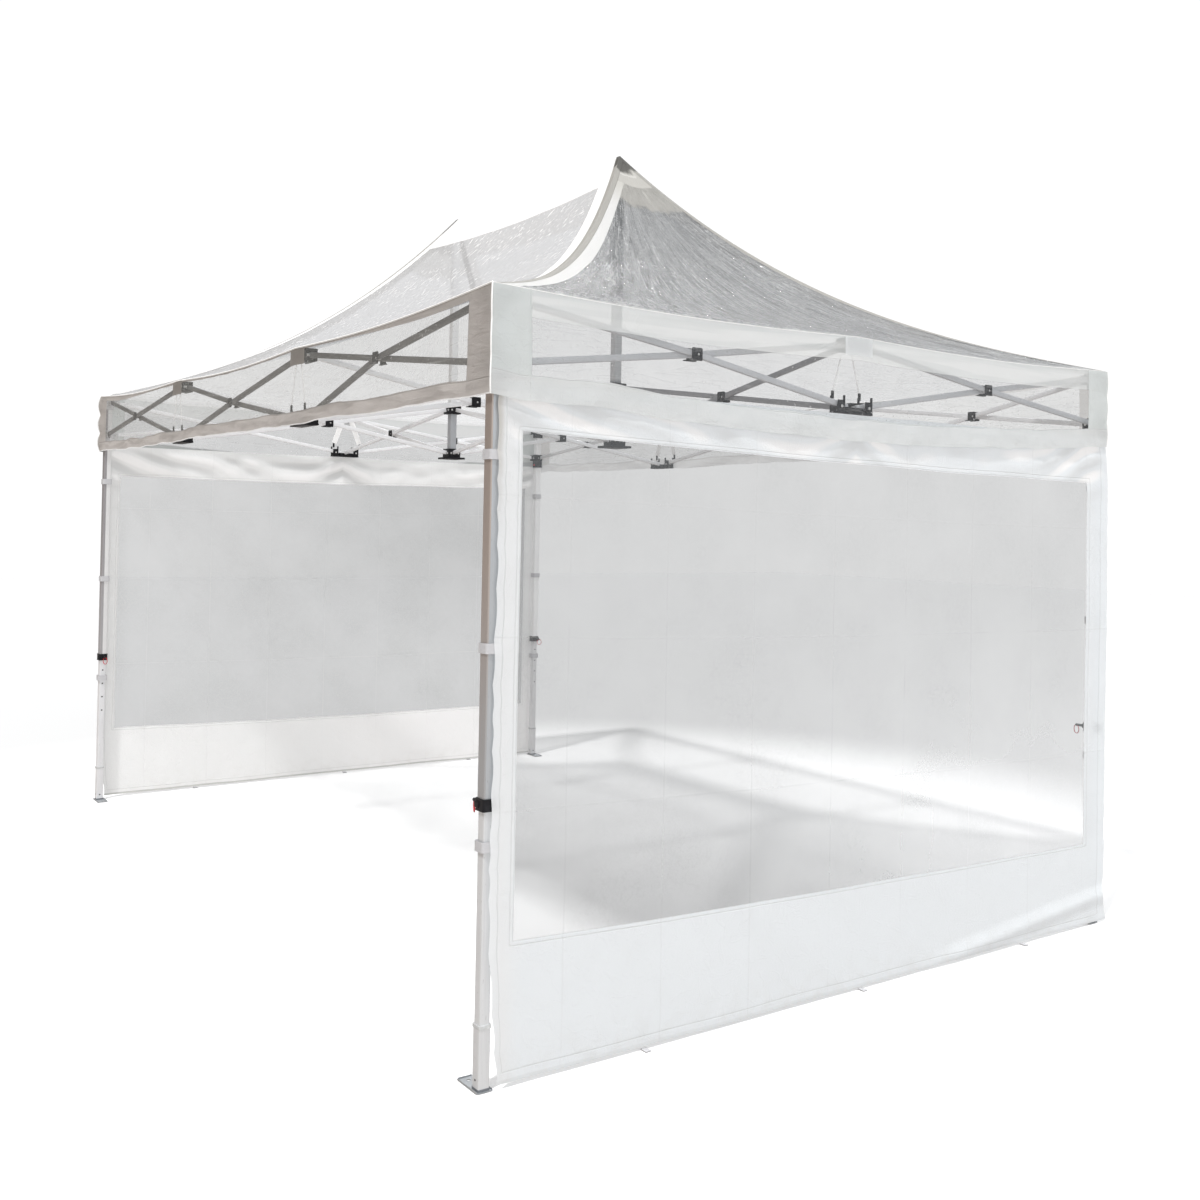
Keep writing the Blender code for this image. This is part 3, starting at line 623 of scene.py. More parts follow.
for corner, place in CORNERS.items():
    inward_x, inward_y = -math.copysign(1, place.x), -math.copysign(1, place.y)
    lower_body = f"lower_leg_{corner}"
    clamp = bmesh.new()
    half = CLAMP_ACROSS / 2
    low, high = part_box(f"leg_clamp_{corner}")
    low, high = low.z + CLAMP_SHORTER, high.z - CLAMP_SHORTER
    add_band(clamp, CLAMP_ACROSS, 0.0038, low, high, 0.006)
    for level_z in (low, high - CLAMP_LIP):
        add_band(clamp, CLAMP_ACROSS + 0.002, 0.0045, level_z, level_z + CLAMP_LIP, 0.007)
    knob_z = (low + high) / 2
    knob_end = inward_x * (half + KNOB_OUT)
    add_rod(clamp, (inward_x * (half - 0.002), 0, knob_z), (knob_end * 0.86, 0, knob_z), KNOB_R, 20, 0.001)
    eye = inward_x * (RING_OUT + 0.003)
    add_rod(clamp, (knob_end * 0.8, 0, knob_z), (eye, 0, knob_z), KNOB_R * 0.55, 16, 0.001)
    add_block(
        clamp,
        (0, -inward_y * half - 0.004, low + 0.008),
        (inward_x * half, -inward_y * half + 0.004, high - 0.008),
        0.003,
        3,
    )
    shift_all(clamp, place)
    add_piece(
        f"height_clamp_{corner}", clamp, black_nylon, replaces=[f"leg_clamp_{corner}"]
    )

    pull = bmesh.new()
    hang = Matrix.Translation((inward_x * RING_OUT, 0.0, knob_z - RING_R))
    tilt = Matrix.Rotation(math.radians(90), 4, "X") @ Matrix.Rotation(math.radians(24 * inward_x), 4, "Y")
    add_hoop(pull, RING_R, RING_WIRE, hang @ tilt)
    shift_all(pull, place)
    add_piece(f"pull_ring_{corner}", pull, red_nylon)

    rim = bmesh.new()
    add_band(rim, RIM_ACROSS, 0.004, SLEEVE_TOP_Z - RIM_TALL, SLEEVE_TOP_Z, 0.005)
    shift_all(rim, place)
    add_piece(f"sleeve_rim_{corner}", rim, pale_nylon, lower_body)

    heel = bmesh.new()
    add_post(heel, SLEEVE_TUBE + 0.0016, FOOT_THICK * 0.8, HEEL_TALL)
    shift_all(heel, place)
    add_piece(f"foot_heel_{corner}", heel, heel_nylon, lower_body)

    holes = bmesh.new()
    face = inward_x * INNER_TUBE / 2
    for hole_z in SETTING_HOLES_Z:
        add_rod(holes, (face * 0.9, 0, hole_z), (face + inward_x * 0.0003, 0, hole_z), SETTING_HOLE_R, 16)
    add_rod(holes, (face * 0.9, 0, 0.03), (inward_x * (SLEEVE_TUBE / 2 + 0.0003), 0, 0.03), 0.004, 16)
    add_rod(holes, (0, -SLEEVE_TUBE / 2 - 0.0003, 0.032), (0, -SLEEVE_TUBE / 2 + 0.003, 0.032), 0.0035, 16)
    shift_all(holes, place)
    add_piece(f"setting_holes_{corner}", holes, black_nylon, lower_body)

    low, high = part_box(f"corner_head_{corner}")
    head, head_bolts = bmesh.new(), bmesh.new()
    half = COLLAR_ACROSS / 2
    centre = Vector((place.x, place.y, 0))
    add_block(
        head, centre + Vector((-half, -half, low.z)), centre + Vector((half, half, high.z)), 0.003, 3
    )
    add_fork(head, head_bolts, place, True, HEAD_PIVOT_Z, bar_side(place.x, True))
    add_fork(head, head_bolts, place, False, HEAD_PIVOT_Z, bar_side(place.y, True))
    nylon = painted_lit_nylon if corner == "front_left" else black_nylon
    add_piece(f"leg_head_{corner}", head, nylon, replaces=[f"corner_head_{corner}"])

    low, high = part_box(f"corner_slider_{corner}")
    collar = bmesh.new()
    add_band(collar, COLLAR_ACROSS, 0.0045, low.z, high.z, 0.006)
    add_band(collar, COLLAR_ACROSS + 0.002, 0.005, low.z, low.z + 0.006, 0.007)
    shift_all(collar, place)
    add_fork(collar, head_bolts, place, True, SLIDER_PIVOT_Z, bar_side(place.x, False))
    add_fork(collar, head_bolts, place, False, SLIDER_PIVOT_Z, bar_side(place.y, False))
    add_piece(
        f"leg_slider_{corner}", collar, nylon, replaces=[f"corner_slider_{corner}"]
    )
    add_piece(f"corner_bolts_{corner}", head_bolts, bright_zinc.owner)

    button = bmesh.new()
    button_z = low.z + 0.018
    sunk, proud = inward_y * half * 0.9, inward_y * (half + 0.006)
    add_rod(button, (0, sunk, button_z), (0, proud, button_z), BUTTON_R, 16, 0.0015)
    shift_all(button, place)
    add_piece(f"release_button_{corner}", button, red_nylon)

# Scissor trusses
# The bars are flat aluminium tubes, bolted in crosses with a black bracket plate on each side, and the
# crosses of the edges meet at black nylon hubs. The centre posts stand on the inner crosses.

HALF_X = cad_box[1][0]
HALF_Y = cad_box[1][1]
EAVE_Z = 2.325
SIDE_EAVE_DROP = 0.038
END_EAVE_DROP = 0.007
EAVE_SCALLOP = 0.016
SIDE_BAYS = 3
END_BAYS = 2
LEG_X = CORNERS["back_right"].x
LEG_Y = CORNERS["back_right"].y
PEAK_X = (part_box("centre_post_right")[0].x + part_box("centre_post_right")[1].x) / 2
SIDE_HIGH_HUB_Z = 2.262
SIDE_LOW_HUB_Z = 2.016
END_HIGH_HUB_Z = 2.290
END_LOW_HUB_Z = 2.068
HUB_ACROSS = 0.050
HUB_HALF = 0.058
HUB_BELOW_PIVOT = 0.026
HUB_TOP_DROP = 0.006
LOW_BLOCK_HALF = 0.044
LOW_BLOCK_ABOVE = -0.002
BASE_HALF = 0.086
BASE_TALL = 0.008
EAR_TALL = 0.065
EAR_LONG = 0.034
EAR_ACROSS = 0.044
BAR_REACH = 0.015
BAR_MEETS = {
    "front": {1: (-0.055, 2.137), 2: (1.430, 2.187)},
    "right": {0: (-0.724, 2.190), 1: (0.742, 2.186)},
}
PLATE_HALF = 0.021
PLATE_THICK = 0.004
FLANGE_OUT = 0.011
POST_TUBE = 0.038
POST_LOW_Z = 1.980
POST_LOW_PIVOT_Z = 2.015
POST_HIGH_PIVOT_Z = 2.250
POST_BLOCK = 0.072
POST_BLOCK_HALF_TALL = 0.022
POST_BOLT_OFF = 0.022
POST_BASE = 0.110
POST_BASE_TALL = 0.010
GAP = 0.0003

# Lit and shaded copies of one aluminium: front bars painted dark and right end bars grey as in shade, inner
# bars pale as if sunlit.
lit_and_shaded_bar_metals = {
    "front": drawn_metal("shaded_front_bar_aluminium", (0.19, 0.188, 0.185), (0.15, 0.148, 0.145), 0.42, 0.4),
    "right": drawn_metal("right_bar_aluminium", (0.62, 0.63, 0.65), (0.54, 0.55, 0.57), 0.38, 0.4),
}
sunlit_bar_metal = drawn_metal("sunlit_inner_bar_aluminium", (0.92, 0.925, 0.94), (0.86, 0.865, 0.88), 0.36, 0.2)
shaded_bar_metal = drawn_metal("shaded_bar_aluminium", (0.36, 0.365, 0.38), (0.30, 0.305, 0.32), 0.38, 0.4)
# Painted shade on the peak posts: darker below the eaves, and the right post darker all over.
POST_SHADE_TONES = {
    "left": ((0.42, 0.435, 0.455), (0.84, 0.85, 0.86)),
    "right": ((0.17, 0.175, 0.185), (0.50, 0.51, 0.52)),
}
POST_SHADE_HEIGHTS = (2.26, 2.30)


class TrussParts:
    """The bars, the black parts and the bolts of one truss, which are finished as three pieces."""

    def __init__(self):
        self.bars = bmesh.new()
        self.black = bmesh.new()
        self.bolts = bmesh.new()

    def add_bar(self, start, end, side):
        """A flat tube between two (distance, height) points, with rounded ends."""
        start, end = Vector((start[0], 0, start[1])), Vector((end[0], 0, end[1]))
        span = end - start
        half_long = span.length / 2
        before = set(self.bars.verts)
        add_block(
            self.bars,
            (-half_long, -BAR_THICK / 2, -BAR_TALL / 2),
            (half_long, BAR_THICK / 2, BAR_TALL / 2),
            0.0028,
            3,
        )
        verts = fresh(self.bars, before)
        lay_run(self.bars, verts, (1, 0, 0), (0, 1, 1))
        lean = Matrix.Rotation(-math.atan2(span.z, span.x), 4, "Y")
        middle = (start + end) / 2 + Vector((0, side, 0))
        bmesh.ops.transform(self.bars, matrix=Matrix.Translation(middle) @ lean, verts=verts)

    def add_cross(self, falling, rising, meet=None):
        """Two crossed bars, bowed to where they meet, with their bolt and the two plates that hold it."""
        (x0, z0), (x1, z1) = falling
        (x2, z2), (x3, z3) = rising
        fall, climb = (z1 - z0) / (x1 - x0), (z3 - z2) / (x3 - x2)
        x = (z2 - z0 + fall * x0 - climb * x2) / (fall - climb)
        z = z0 + fall * (x - x0)
        if meet:
            x, z = meet
        for ends, side in ((falling, BAR_OFFSET), (rising, -BAR_OFFSET)):
            self.add_bar(ends[0], (x, z), side)
            self.add_bar((x, z), ends[1], side)
        outer = BAR_OFFSET + BAR_THICK / 2
        for way in (-1, 1):
            stand = Matrix.Translation((x, way * outer, z)) @ Matrix.Rotation(-way * math.pi / 2, 4, "X")
            add_holed_plate(
                self.black, PLATE_HALF, PLATE_HALF, (0.006, 0.0), 0.0045, PLATE_THICK * 0.8, stand, 0.16
            )
            far = way * (outer + FLANGE_OUT)
            near = way * (outer - 0.001)
            add_block(
                self.black,
                (x - PLATE_HALF - 0.008, near, z - PLATE_HALF),
                (x + PLATE_HALF * 0.7, far, z - PLATE_HALF + 0.0035),
                0.001,
            )
        reach = outer + PLATE_THICK * 0.6
        add_rod(self.bolts, (x + 0.006, -reach, z), (x + 0.006, reach, z), 0.0044, 14, 0.001)

    def add_high_hub(self, at, z, top):
        """A capped block between two cheeks, with a bolt near each end."""
        half = HUB_ACROSS / 2
        low = z - HUB_BELOW_PIVOT
        black = self.black
        add_block(black, (at - HUB_HALF, -half, top - 0.008), (at + HUB_HALF, half, top), 0.002)
        add_block(black, (at - 0.022, -half + 0.004, low), (at + 0.022, half - 0.004, top - 0.004), 0.003)
        for way in (-1, 1):
            cheek = way * (half - 0.003)
            add_block(black, (at - HUB_HALF, cheek - 0.003, low), (at + HUB_HALF, cheek + 0.003, top), 0.002)
        for way in (-1, 1):
            pivot = at + way * (HUB_HALF - 0.016)
            add_rod(self.bolts, (pivot, -half - 0.0025, z), (pivot, half + 0.0025, z), BOLT_R, 12, 0.001)

    def add_low_hub(self, at, z):
        """A base plate with a lipped block in the middle and a two-pronged ear at each end."""
        half = HUB_ACROSS / 2
        low = z - HUB_BELOW_PIVOT
        black = self.black
        block, lip = LOW_BLOCK_HALF, LOW_BLOCK_HALF + 0.004
        top = z + LOW_BLOCK_ABOVE
        add_block(black, (at - BASE_HALF, -half, low), (at + BASE_HALF, half, low + BASE_TALL), 0.0025)
        add_block(black, (at - block, -half + 0.004, low + 0.002), (at + block, half - 0.004, top), 0.004, 3)
        add_block(black, (at - lip, -half, top - 0.008), (at + lip, half, top), 0.0025)
        across = EAR_ACROSS / 2
        foot = low + 0.002
        for way in (-1, 1):
            inner, outer = at + way * (BASE_HALF - EAR_LONG), at + way * BASE_HALF
            for cheek in (-1, 1):
                near, far = cheek * (across - 0.003) - 0.003, cheek * (across - 0.003) + 0.003
                add_block(black, (inner, near, foot), (outer, far, low + 0.048), 0.0012)
                prong = min(inner, outer) + 0.004 if cheek < 0 else max(inner, outer) - 0.004
                tip = low + EAR_TALL
                add_block(black, (prong - 0.004, near, low + 0.04), (prong + 0.004, far, tip), 0.0012)
            web = outer - way * 0.004
            reach = across - 0.002
            add_block(black, (web - 0.003, -reach, foot), (web + 0.003, reach, low + 0.034), 0.0012)
            pivot, reach = at + way * (BASE_HALF - EAR_LONG / 2), across + 0.002
            add_rod(self.bolts, (pivot, -reach, z), (pivot, reach, z), BOLT_R, 12, 0.001)

    def finish(self, name, line, replaces, metal):
        """Sets the parts down on their line as three pieces."""
        for shape in (self.bars, self.black, self.bolts):
            line.set_down(shape)
        add_piece(f"{name}_bars", self.bars, metal, replaces=replaces)
        add_piece(f"{name}_brackets", self.black, black_nylon)
        add_piece(f"{name}_bolts", self.bolts, bright_zinc.owner)


def eave_drop(share, is_side):
    """How far an eave hangs below its corners: it sinks to the hubs and a little more between them."""
    bays, hub_drop = (SIDE_BAYS, SIDE_EAVE_DROP) if is_side else (END_BAYS, END_EAVE_DROP)
    return 4 * hub_drop * share * (1 - share) + EAVE_SCALLOP * abs(math.sin(math.pi * bays * share))


def make_edge_truss(side, line, leg_place, hubs, high_z, low_z):
    """The crosses from one leg to the next, with a high and a low hub wherever two of them meet."""
    parts = TrussParts()
    is_side = line.along.x > 0.5
    half = HALF_X if is_side else HALF_Y
    reach = leg_place - COLLAR_ACROSS / 2 - 0.004
    joints = [-reach, *hubs, reach]
    for i, (start, end) in enumerate(zip(joints, joints[1:])):
        first, last = i == 0, i == len(hubs)
        begin = start if first else start + LOW_BLOCK_HALF - BAR_REACH
        stop = end if last else end - LOW_BLOCK_HALF + BAR_REACH
        high_begin, low_begin = (HEAD_PIVOT_Z, SLIDER_PIVOT_Z) if first else (high_z, low_z)
        high_stop, low_stop = (HEAD_PIVOT_Z, SLIDER_PIVOT_Z) if last else (high_z, low_z)
        falling = ((begin, high_begin), (stop, low_stop))
        rising = ((begin, low_begin), (stop, high_stop))
        parts.add_cross(falling, rising, BAR_MEETS.get(side, {}).get(i))
    for hub in hubs:
        cover_z = EAVE_Z - eave_drop((hub + half) / (2 * half), is_side)
        parts.add_high_hub(hub, high_z, cover_z - HUB_TOP_DROP)
        parts.add_low_hub(hub, low_z)
    parts.finish(f"{side}_truss", line, [f"{side}_truss"], lit_and_shaded_bar_metals.get(side, sunlit_bar_metal))


for side, y in (("front", -LEG_Y), ("back", LEG_Y)):
    make_edge_truss(side, Line((0, y), True), LEG_X, (-PEAK_X, PEAK_X), SIDE_HIGH_HUB_Z, SIDE_LOW_HUB_Z)
for side, x in (("left", -LEG_X), ("right", LEG_X)):
    make_edge_truss(side, Line((x, 0), False), LEG_Y, (0.0,), END_HIGH_HUB_Z, END_LOW_HUB_Z)


def make_inner_scissor(name, line, ends, high, low, metal=sunlit_bar_metal):
    """One cross under the roof, between the pivot heights that are given for its two ends."""
    parts = TrussParts()
    start, end = ends
    parts.add_cross(((start, high[0]), (end, low[1])), ((start, low[0]), (end, high[1])))
    parts.finish(name, line, [name], metal)


block = POST_BLOCK / 2 + GAP
hub_face = LEG_Y - HUB_ACROSS / 2 - GAP
side_high, side_low = (SIDE_HIGH_HUB_Z, POST_HIGH_PIVOT_Z), (SIDE_LOW_HUB_Z, POST_LOW_PIVOT_Z)
for side, x in (("left", -PEAK_X), ("right", PEAK_X)):
    line = Line((x, 0), False)
    make_inner_scissor(f"cross_scissor_front_{side}", line, (-hub_face, -block), side_high, side_low)
    make_inner_scissor(f"cross_scissor_back_{side}", line, (block, hub_face), side_high[::-1], side_low[::-1])
middle_line = Line((0, 0), True)
end_high, end_low = (END_HIGH_HUB_Z, POST_HIGH_PIVOT_Z), (END_LOW_HUB_Z, POST_LOW_PIVOT_Z)
post_high, post_low = (POST_HIGH_PIVOT_Z,) * 2, (POST_LOW_PIVOT_Z,) * 2
make_inner_scissor("middle_scissor", middle_line, (block - PEAK_X, PEAK_X - block), post_high, post_low)
outer_end = LEG_X - HUB_ACROSS / 2 - GAP
make_inner_scissor("end_scissor_left", middle_line, (-outer_end, -PEAK_X - block), end_high, end_low)
make_inner_scissor(
    "end_scissor_right", middle_line, (PEAK_X + block, outer_end), end_high[::-1], end_low[::-1],
    shaded_bar_metal,
)

for side, x in (("left", -PEAK_X), ("right", PEAK_X)):
    pad_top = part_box(f"centre_post_{side}")[1].z
    post, post_black, post_bolts = bmesh.new(), bmesh.new(), bmesh.new()
    base_top = POST_LOW_Z + POST_BASE_TALL
    add_post(post, POST_TUBE, base_top, pad_top - 0.012)
    half = POST_BASE / 2
    add_block(post_black, (-half, -half, POST_LOW_Z), (half, half, base_top), 0.002)
    for low, high in (
        (base_top - 0.002, POST_LOW_PIVOT_Z + POST_BLOCK_HALF_TALL),
        (POST_HIGH_PIVOT_Z - POST_BLOCK_HALF_TALL, POST_HIGH_PIVOT_Z + POST_BLOCK_HALF_TALL),
    ):
        half = POST_BLOCK / 2
        add_block(post_black, (-half, -half, low), (half, half, high), 0.003, 3)
        middle = (low + high) / 2
        reach = half + 0.003
        for off in (-POST_BOLT_OFF, POST_BOLT_OFF):
            add_rod(post_bolts, (-reach, off, middle), (reach, off, middle), BOLT_R, 12, 0.001)
            add_rod(post_bolts, (off, -reach, middle), (off, reach, middle), BOLT_R, 12, 0.001)
    add_rod(post_black, (0, 0, pad_top - 0.020), (0, 0, pad_top), 0.024, 28, 0.004)
    for shape in (post, post_black, post_bolts):
        shift_all(shape, (x, 0))
    low_tone, high_tone = POST_SHADE_TONES[side]
    shaded_below = (HALF_Y, POST_SHADE_HEIGHTS, low_tone, high_tone)
    metal = drawn_metal(f"{side}_post_aluminium", high_tone, low_tone, 0.38, 0.4, shaded_below)
    add_piece(f"peak_post_{side}", post, metal, replaces=[f"centre_post_{side}"])
    add_piece(f"peak_post_blocks_{side}", post_black, black_nylon)
    add_piece(f"peak_post_bolts_{side}", post_bolts, bright_zinc.owner)

# Roof
# The roof is one sewn cover: clear film between white cloth bands on its hips, ridge and peaks. It is
# stretched over the posts and hubs, and the film is creased all over from being folded away.

PEAK_Z = cad_box[1][2]
HIP_STRAIGHT_SHARE = 0.41
HIP_POWER = 2.7
RIDGE_SAG = 0.025
SLOPE_SAG = 0.03
ROOF_ROWS = 110
SIDE_COLUMNS = 260
END_COLUMNS = 180
ROOF_CROWDING = 1.15
HIP_BAND = 0.075
END_HIP_NARROWER = 0.018
HIP_STRIP = 0.017
RIDGE_BAND = 0.17
CAP_REACH = 0.13
CAP_SKIRT = 0.22
CAP_LINING = 0.40
WRINKLED_EAVE = 0.45
BACK_HIP_NARROWER = 0.030
FILM_GREY = (0.20, 0.212, 0.22)
FILM_WHITE = (0.74, 0.75, 0.76)
# Tones of the cover. Most are painted light and shade: shade on the end slopes and low in front, glare on the
# film and a highlight at each cap's edge.
COVER_TONES = {
    "shade_streaks": (0.05, 0.058, 0.065), "glare": (0.93, 0.94, 0.96), "low_blue_shade": (0.12, 0.14, 0.17),
    "pale_eave": (0.74, 0.745, 0.74), "lining": (0.58, 0.57, 0.535),
    "cloth": (0.97, 0.97, 0.96), "cloth_shade": (0.94, 0.94, 0.93), "end_cloth_shade": (0.70, 0.70, 0.69),
    "shaded_hip": (0.42, 0.41, 0.385), "shade_by_peak": (0.56, 0.55, 0.515), "skirt": (0.50, 0.49, 0.46),
    "crescent_highlight": (0.80, 0.79, 0.76), "strip": (0.40, 0.39, 0.365), "cap_shade": (0.13, 0.127, 0.117),
}


def hip_share(s):
    """Height of a hip above the eave as a share of the peak's, from 1 at the peak to 0 at the corner."""
    return HIP_STRAIGHT_SHARE * (1 - s) + (1 - HIP_STRAIGHT_SHARE) * (1 - s) ** HIP_POWER


class Slope:
    """One of the four slopes of the roof: s runs from the ridge to the eave, t from one hip to the next."""

    def __init__(self, first_corner, second_corner):
        self.corners = (first_corner, second_corner)
        self.is_side = first_corner[1] == second_corner[1]

    def hip_point(self, corner, s):
        peak_x = math.copysign(PEAK_X, corner[0])
        return Vector((peak_x + (corner[0] - peak_x) * s, corner[1] * s, 0))

    def row_length(self, s):
        first, second = (self.hip_point(corner, s) for corner in self.corners)
        return (second - first).length

    def at(self, s, t):
        first, second = (self.hip_point(corner, s) for corner in self.corners)
        place = first.lerp(second, t)
        belly = math.sin(math.pi * t)
        sag = SLOPE_SAG * math.sin(math.pi * s) * belly
        if self.is_side:
            sag += RIDGE_SAG * (1 - s) * belly
        sag += eave_drop(t, self.is_side) * s ** 4
        place.z = EAVE_Z + (PEAK_Z - EAVE_Z) * hip_share(s) - sag
        return place


def folds(x, y, seed=0.0):
    """A smooth random height from 0 to 1, with sharp crests like those of creased film."""
    return 1 - min(1.0, 2.2 * abs(noise.noise(Vector((x, y, seed)))))


def crease_net(finish, spot, clouds):
    """The net of fine creases that film keeps from being folded away, stronger in some patches."""
    wide = finish.grain(spot, 17.0, 5.0, 0.3).line(0.03)
    fine = finish.grain(spot, 70.0, 4.0, 0.2).line(0.05)
    return (wide * 0.35 + fine * 0.4) * clouds.rise(0.35, 0.7)


def glints(finish, spot, clouds, least, scale=85.0):
    """Painted glints: scattered bright specks, more of them for a lower least value."""
    return finish.grain(spot, scale, 0.0).rise(least, least + 0.03) * clouds.rise(0.38, 0.52)


def film_parts(finish, creases, clouds, thickness):
    """Clear film: it greys what is behind it and whitens along its creases, partly as a painted highlight."""
    creases = creases.within_one()
    return {
        "colour": finish.mix(creases, FILM_GREY, FILM_WHITE),
        "alpha": thickness + (clouds - 0.5) * 0.12 + creases * 0.4,
        "roughness": 0.10 + clouds * 0.12,
        "height": creases * 0.6 + clouds * 0.4,
    }


def cloth_parts(finish, spot, colour, shade):
    """White coated polyester: a fine weave, soft creases and a slightly uneven whiteness."""
    across = finish.node("SeparateXYZ", None, {"Vector": spot}, "X")
    down = across.other("Y")
    weave = (across * 5200.0).wave() * (down * 5200.0).wave()
    soft = finish.grain(spot, 5.0, 3.0, 0.5)
    crease = finish.grain(spot, 14.0, 3.0, 0.8).line(0.03)
    return {
        # The creases are painted a little towards the shade tone.
        "colour": finish.mix(soft.rise(0.3, 0.8) * 0.35 + crease * 0.12, colour, shade),
        "alpha": 1.0,
        "roughness": 0.62 + soft * 0.12,
        "height": soft * 0.4 + crease * 0.15 + weave * 0.04,
    }


def sew(finish, share, film, cloth):
    """Feeds the shader with film where the share is 0 and cloth where it is 1."""
    height = film["height"] * (1 - share) + cloth["height"] * share
    colour = finish.mix(share, film["colour"], cloth["colour"])
    alpha = (film["alpha"] * (1 - share) + cloth["alpha"] * share).within_one()
    finish.let_through(0.4 - share * 0.12, colour, alpha)
    finish.feed({
        "Base Color": colour,
        "Alpha": alpha,
        "Roughness": film["roughness"] * (1 - share) + cloth["roughness"] * share,
        "Normal": finish.bump(height + share * 0.3, 0.0035),
    })


class CoverFinish(Finish):
    """The roof's finish. It reads how far a point is from the hips, the ridge, a peak and the eave."""

    def __init__(self):
        super().__init__("roof_film_and_bands", {"Specular IOR Level": 0.5})
        self.flat = self.spot(uv="cloth")
        self.clouds = self.grain(self.flat, 4.0, 3.0)
        self.hip, self.ridge, self.peak = (self.stored(name) for name in ("hip", "ridge", "peak"))
        self.ragged = self.peak + (self.grain(self.flat, 14.0, 3.0) - 0.5) * 0.12
        self.eave = self.node("SeparateXYZ", None, {"Vector": self.flat}, "Y")
        self.x = self.node("SeparateXYZ", None, {"Vector": self.spot()}, "X")
        self.y = self.x.other("Y")
        past_hip = abs(self.x) - abs(self.y) * ((HALF_X - PEAK_X) / HALF_Y)
        self.on_end = past_hip.rise(PEAK_X - 0.01, PEAK_X + 0.01)
        self.on_right = self.on_end * self.x.rise(0.0, 0.2)
        self.on_front = (1 - self.y.rise(-0.02, 0.02)) * (1 - self.on_end)
        self.elsewhere = 1 - self.on_front - self.on_right

    def film(self):
        """Creased film, with scratches and painted shade on the right end, painted glints on the front slope
        and painted glare everywhere else, strongest in front.
        """
        below_cap = self.peak.rise(0.25, 0.4)
        rays = self.grain(self.spot((30.0, 2.6, 1.0), uv="fan"), 1.0, 4.0, 0.25).line(0.03)
        rays = rays * self.on_end * below_cap * (1 - self.peak.rise(1.0, 1.7))
        along_eave = self.grain(self.spot((2.2, 26.0, 1.0), uv="cloth"), 1.0, 4.0, 0.3).line(0.05)
        along_eave = along_eave * (1 - self.eave.rise(WRINKLED_EAVE * 0.5, WRINKLED_EAVE)) * 0.8
        scratches = self.grain(self.spot((64.0, 4.5, 1.0), uv="fan"), 1.0, 5.0, 0.8).line(0.07)
        scratches = (scratches * 0.7 + self.grain(self.flat, 34.0, 5.0, 0.9).line(0.06) * 0.5) * self.on_right
        # Painted shade: dark streaks fanning from the peak over the right end slope's film.
        shade_streaks = self.grain(self.spot((34.0, 3.2, 1.0), uv="fan"), 1.0, 5.0, 1.0).rise(0.42, 0.62)
        shade_streaks = shade_streaks * self.on_right * (1 - scratches)
        creases = crease_net(self, self.flat, self.clouds) * (0.8 - self.elsewhere * 0.55)
        creases = creases + rays * (0.5 - self.elsewhere * 0.3) + scratches * 0.5
        creases = creases + along_eave * (0.7 - self.elsewhere * 0.4)

        # Painted glints: clustered white specks on the front slope near the peaks.
        clusters = self.grain(self.spot((1.1, 4.5, 1.0), uv="cloth", turn=(0.0, 0.0, 0.45)), 1.0, 2.0)
        round_spot = self.spot((1.0, 0.55, 1.0), uv="cloth")
        specks = glints(self, round_spot, clusters, 0.68, 44.0)
        specks = (specks + glints(self, round_spot, clusters - 0.02, 0.70, 90.0)).within_one()
        specks = specks * self.on_front * below_cap * (1 - self.peak.rise(1.1, 1.9))
        # Painted shade: the front slope's film darker and bluer low down towards the right.
        low_blue_shade = (1 - self.eave.rise(0.2, 0.9)) * self.x.rise(0.0, 1.0) * self.on_front
        # Painted glare whitens the film everywhere but on the right end, most in front.
        glare = (1 - self.on_right) * (0.85 - low_blue_shade * 0.7) * (0.6 + self.on_front * 0.4)
        uneven = (self.grain(self.spot((1.5, 9.0, 1.0), uv="cloth"), 1.0, 3.0) - 0.5) * 0.12
        pale_eave = (1 - (self.eave + uneven).rise(0.0, 0.08)) * self.on_end
        lining = (1 - self.ragged.rise(CAP_LINING - 0.04, CAP_LINING)) * self.on_end

        film = film_parts(self, creases, self.clouds, self.on_right * 0.19 + 0.49)
        for share, tone in (
            (shade_streaks * 0.85, COVER_TONES["shade_streaks"]),
            (glare * 0.8, COVER_TONES["glare"]),
            (low_blue_shade * 0.8, COVER_TONES["low_blue_shade"]),
            (specks, (1.0, 1.0, 1.0)),
            (pale_eave * 0.7, COVER_TONES["pale_eave"]),
            (lining * 0.85, COVER_TONES["lining"]),
        ):
            film["colour"] = self.mix(share, film["colour"], tone)
        thicker = specks + (glare * 0.16 + low_blue_shade * 0.22) * self.on_front + pale_eave * 0.3 + lining * 0.35
        film["alpha"] = film["alpha"] + thicker - self.elsewhere * 0.12
        film["height"] = film["height"] + scratches * 0.3
        return film

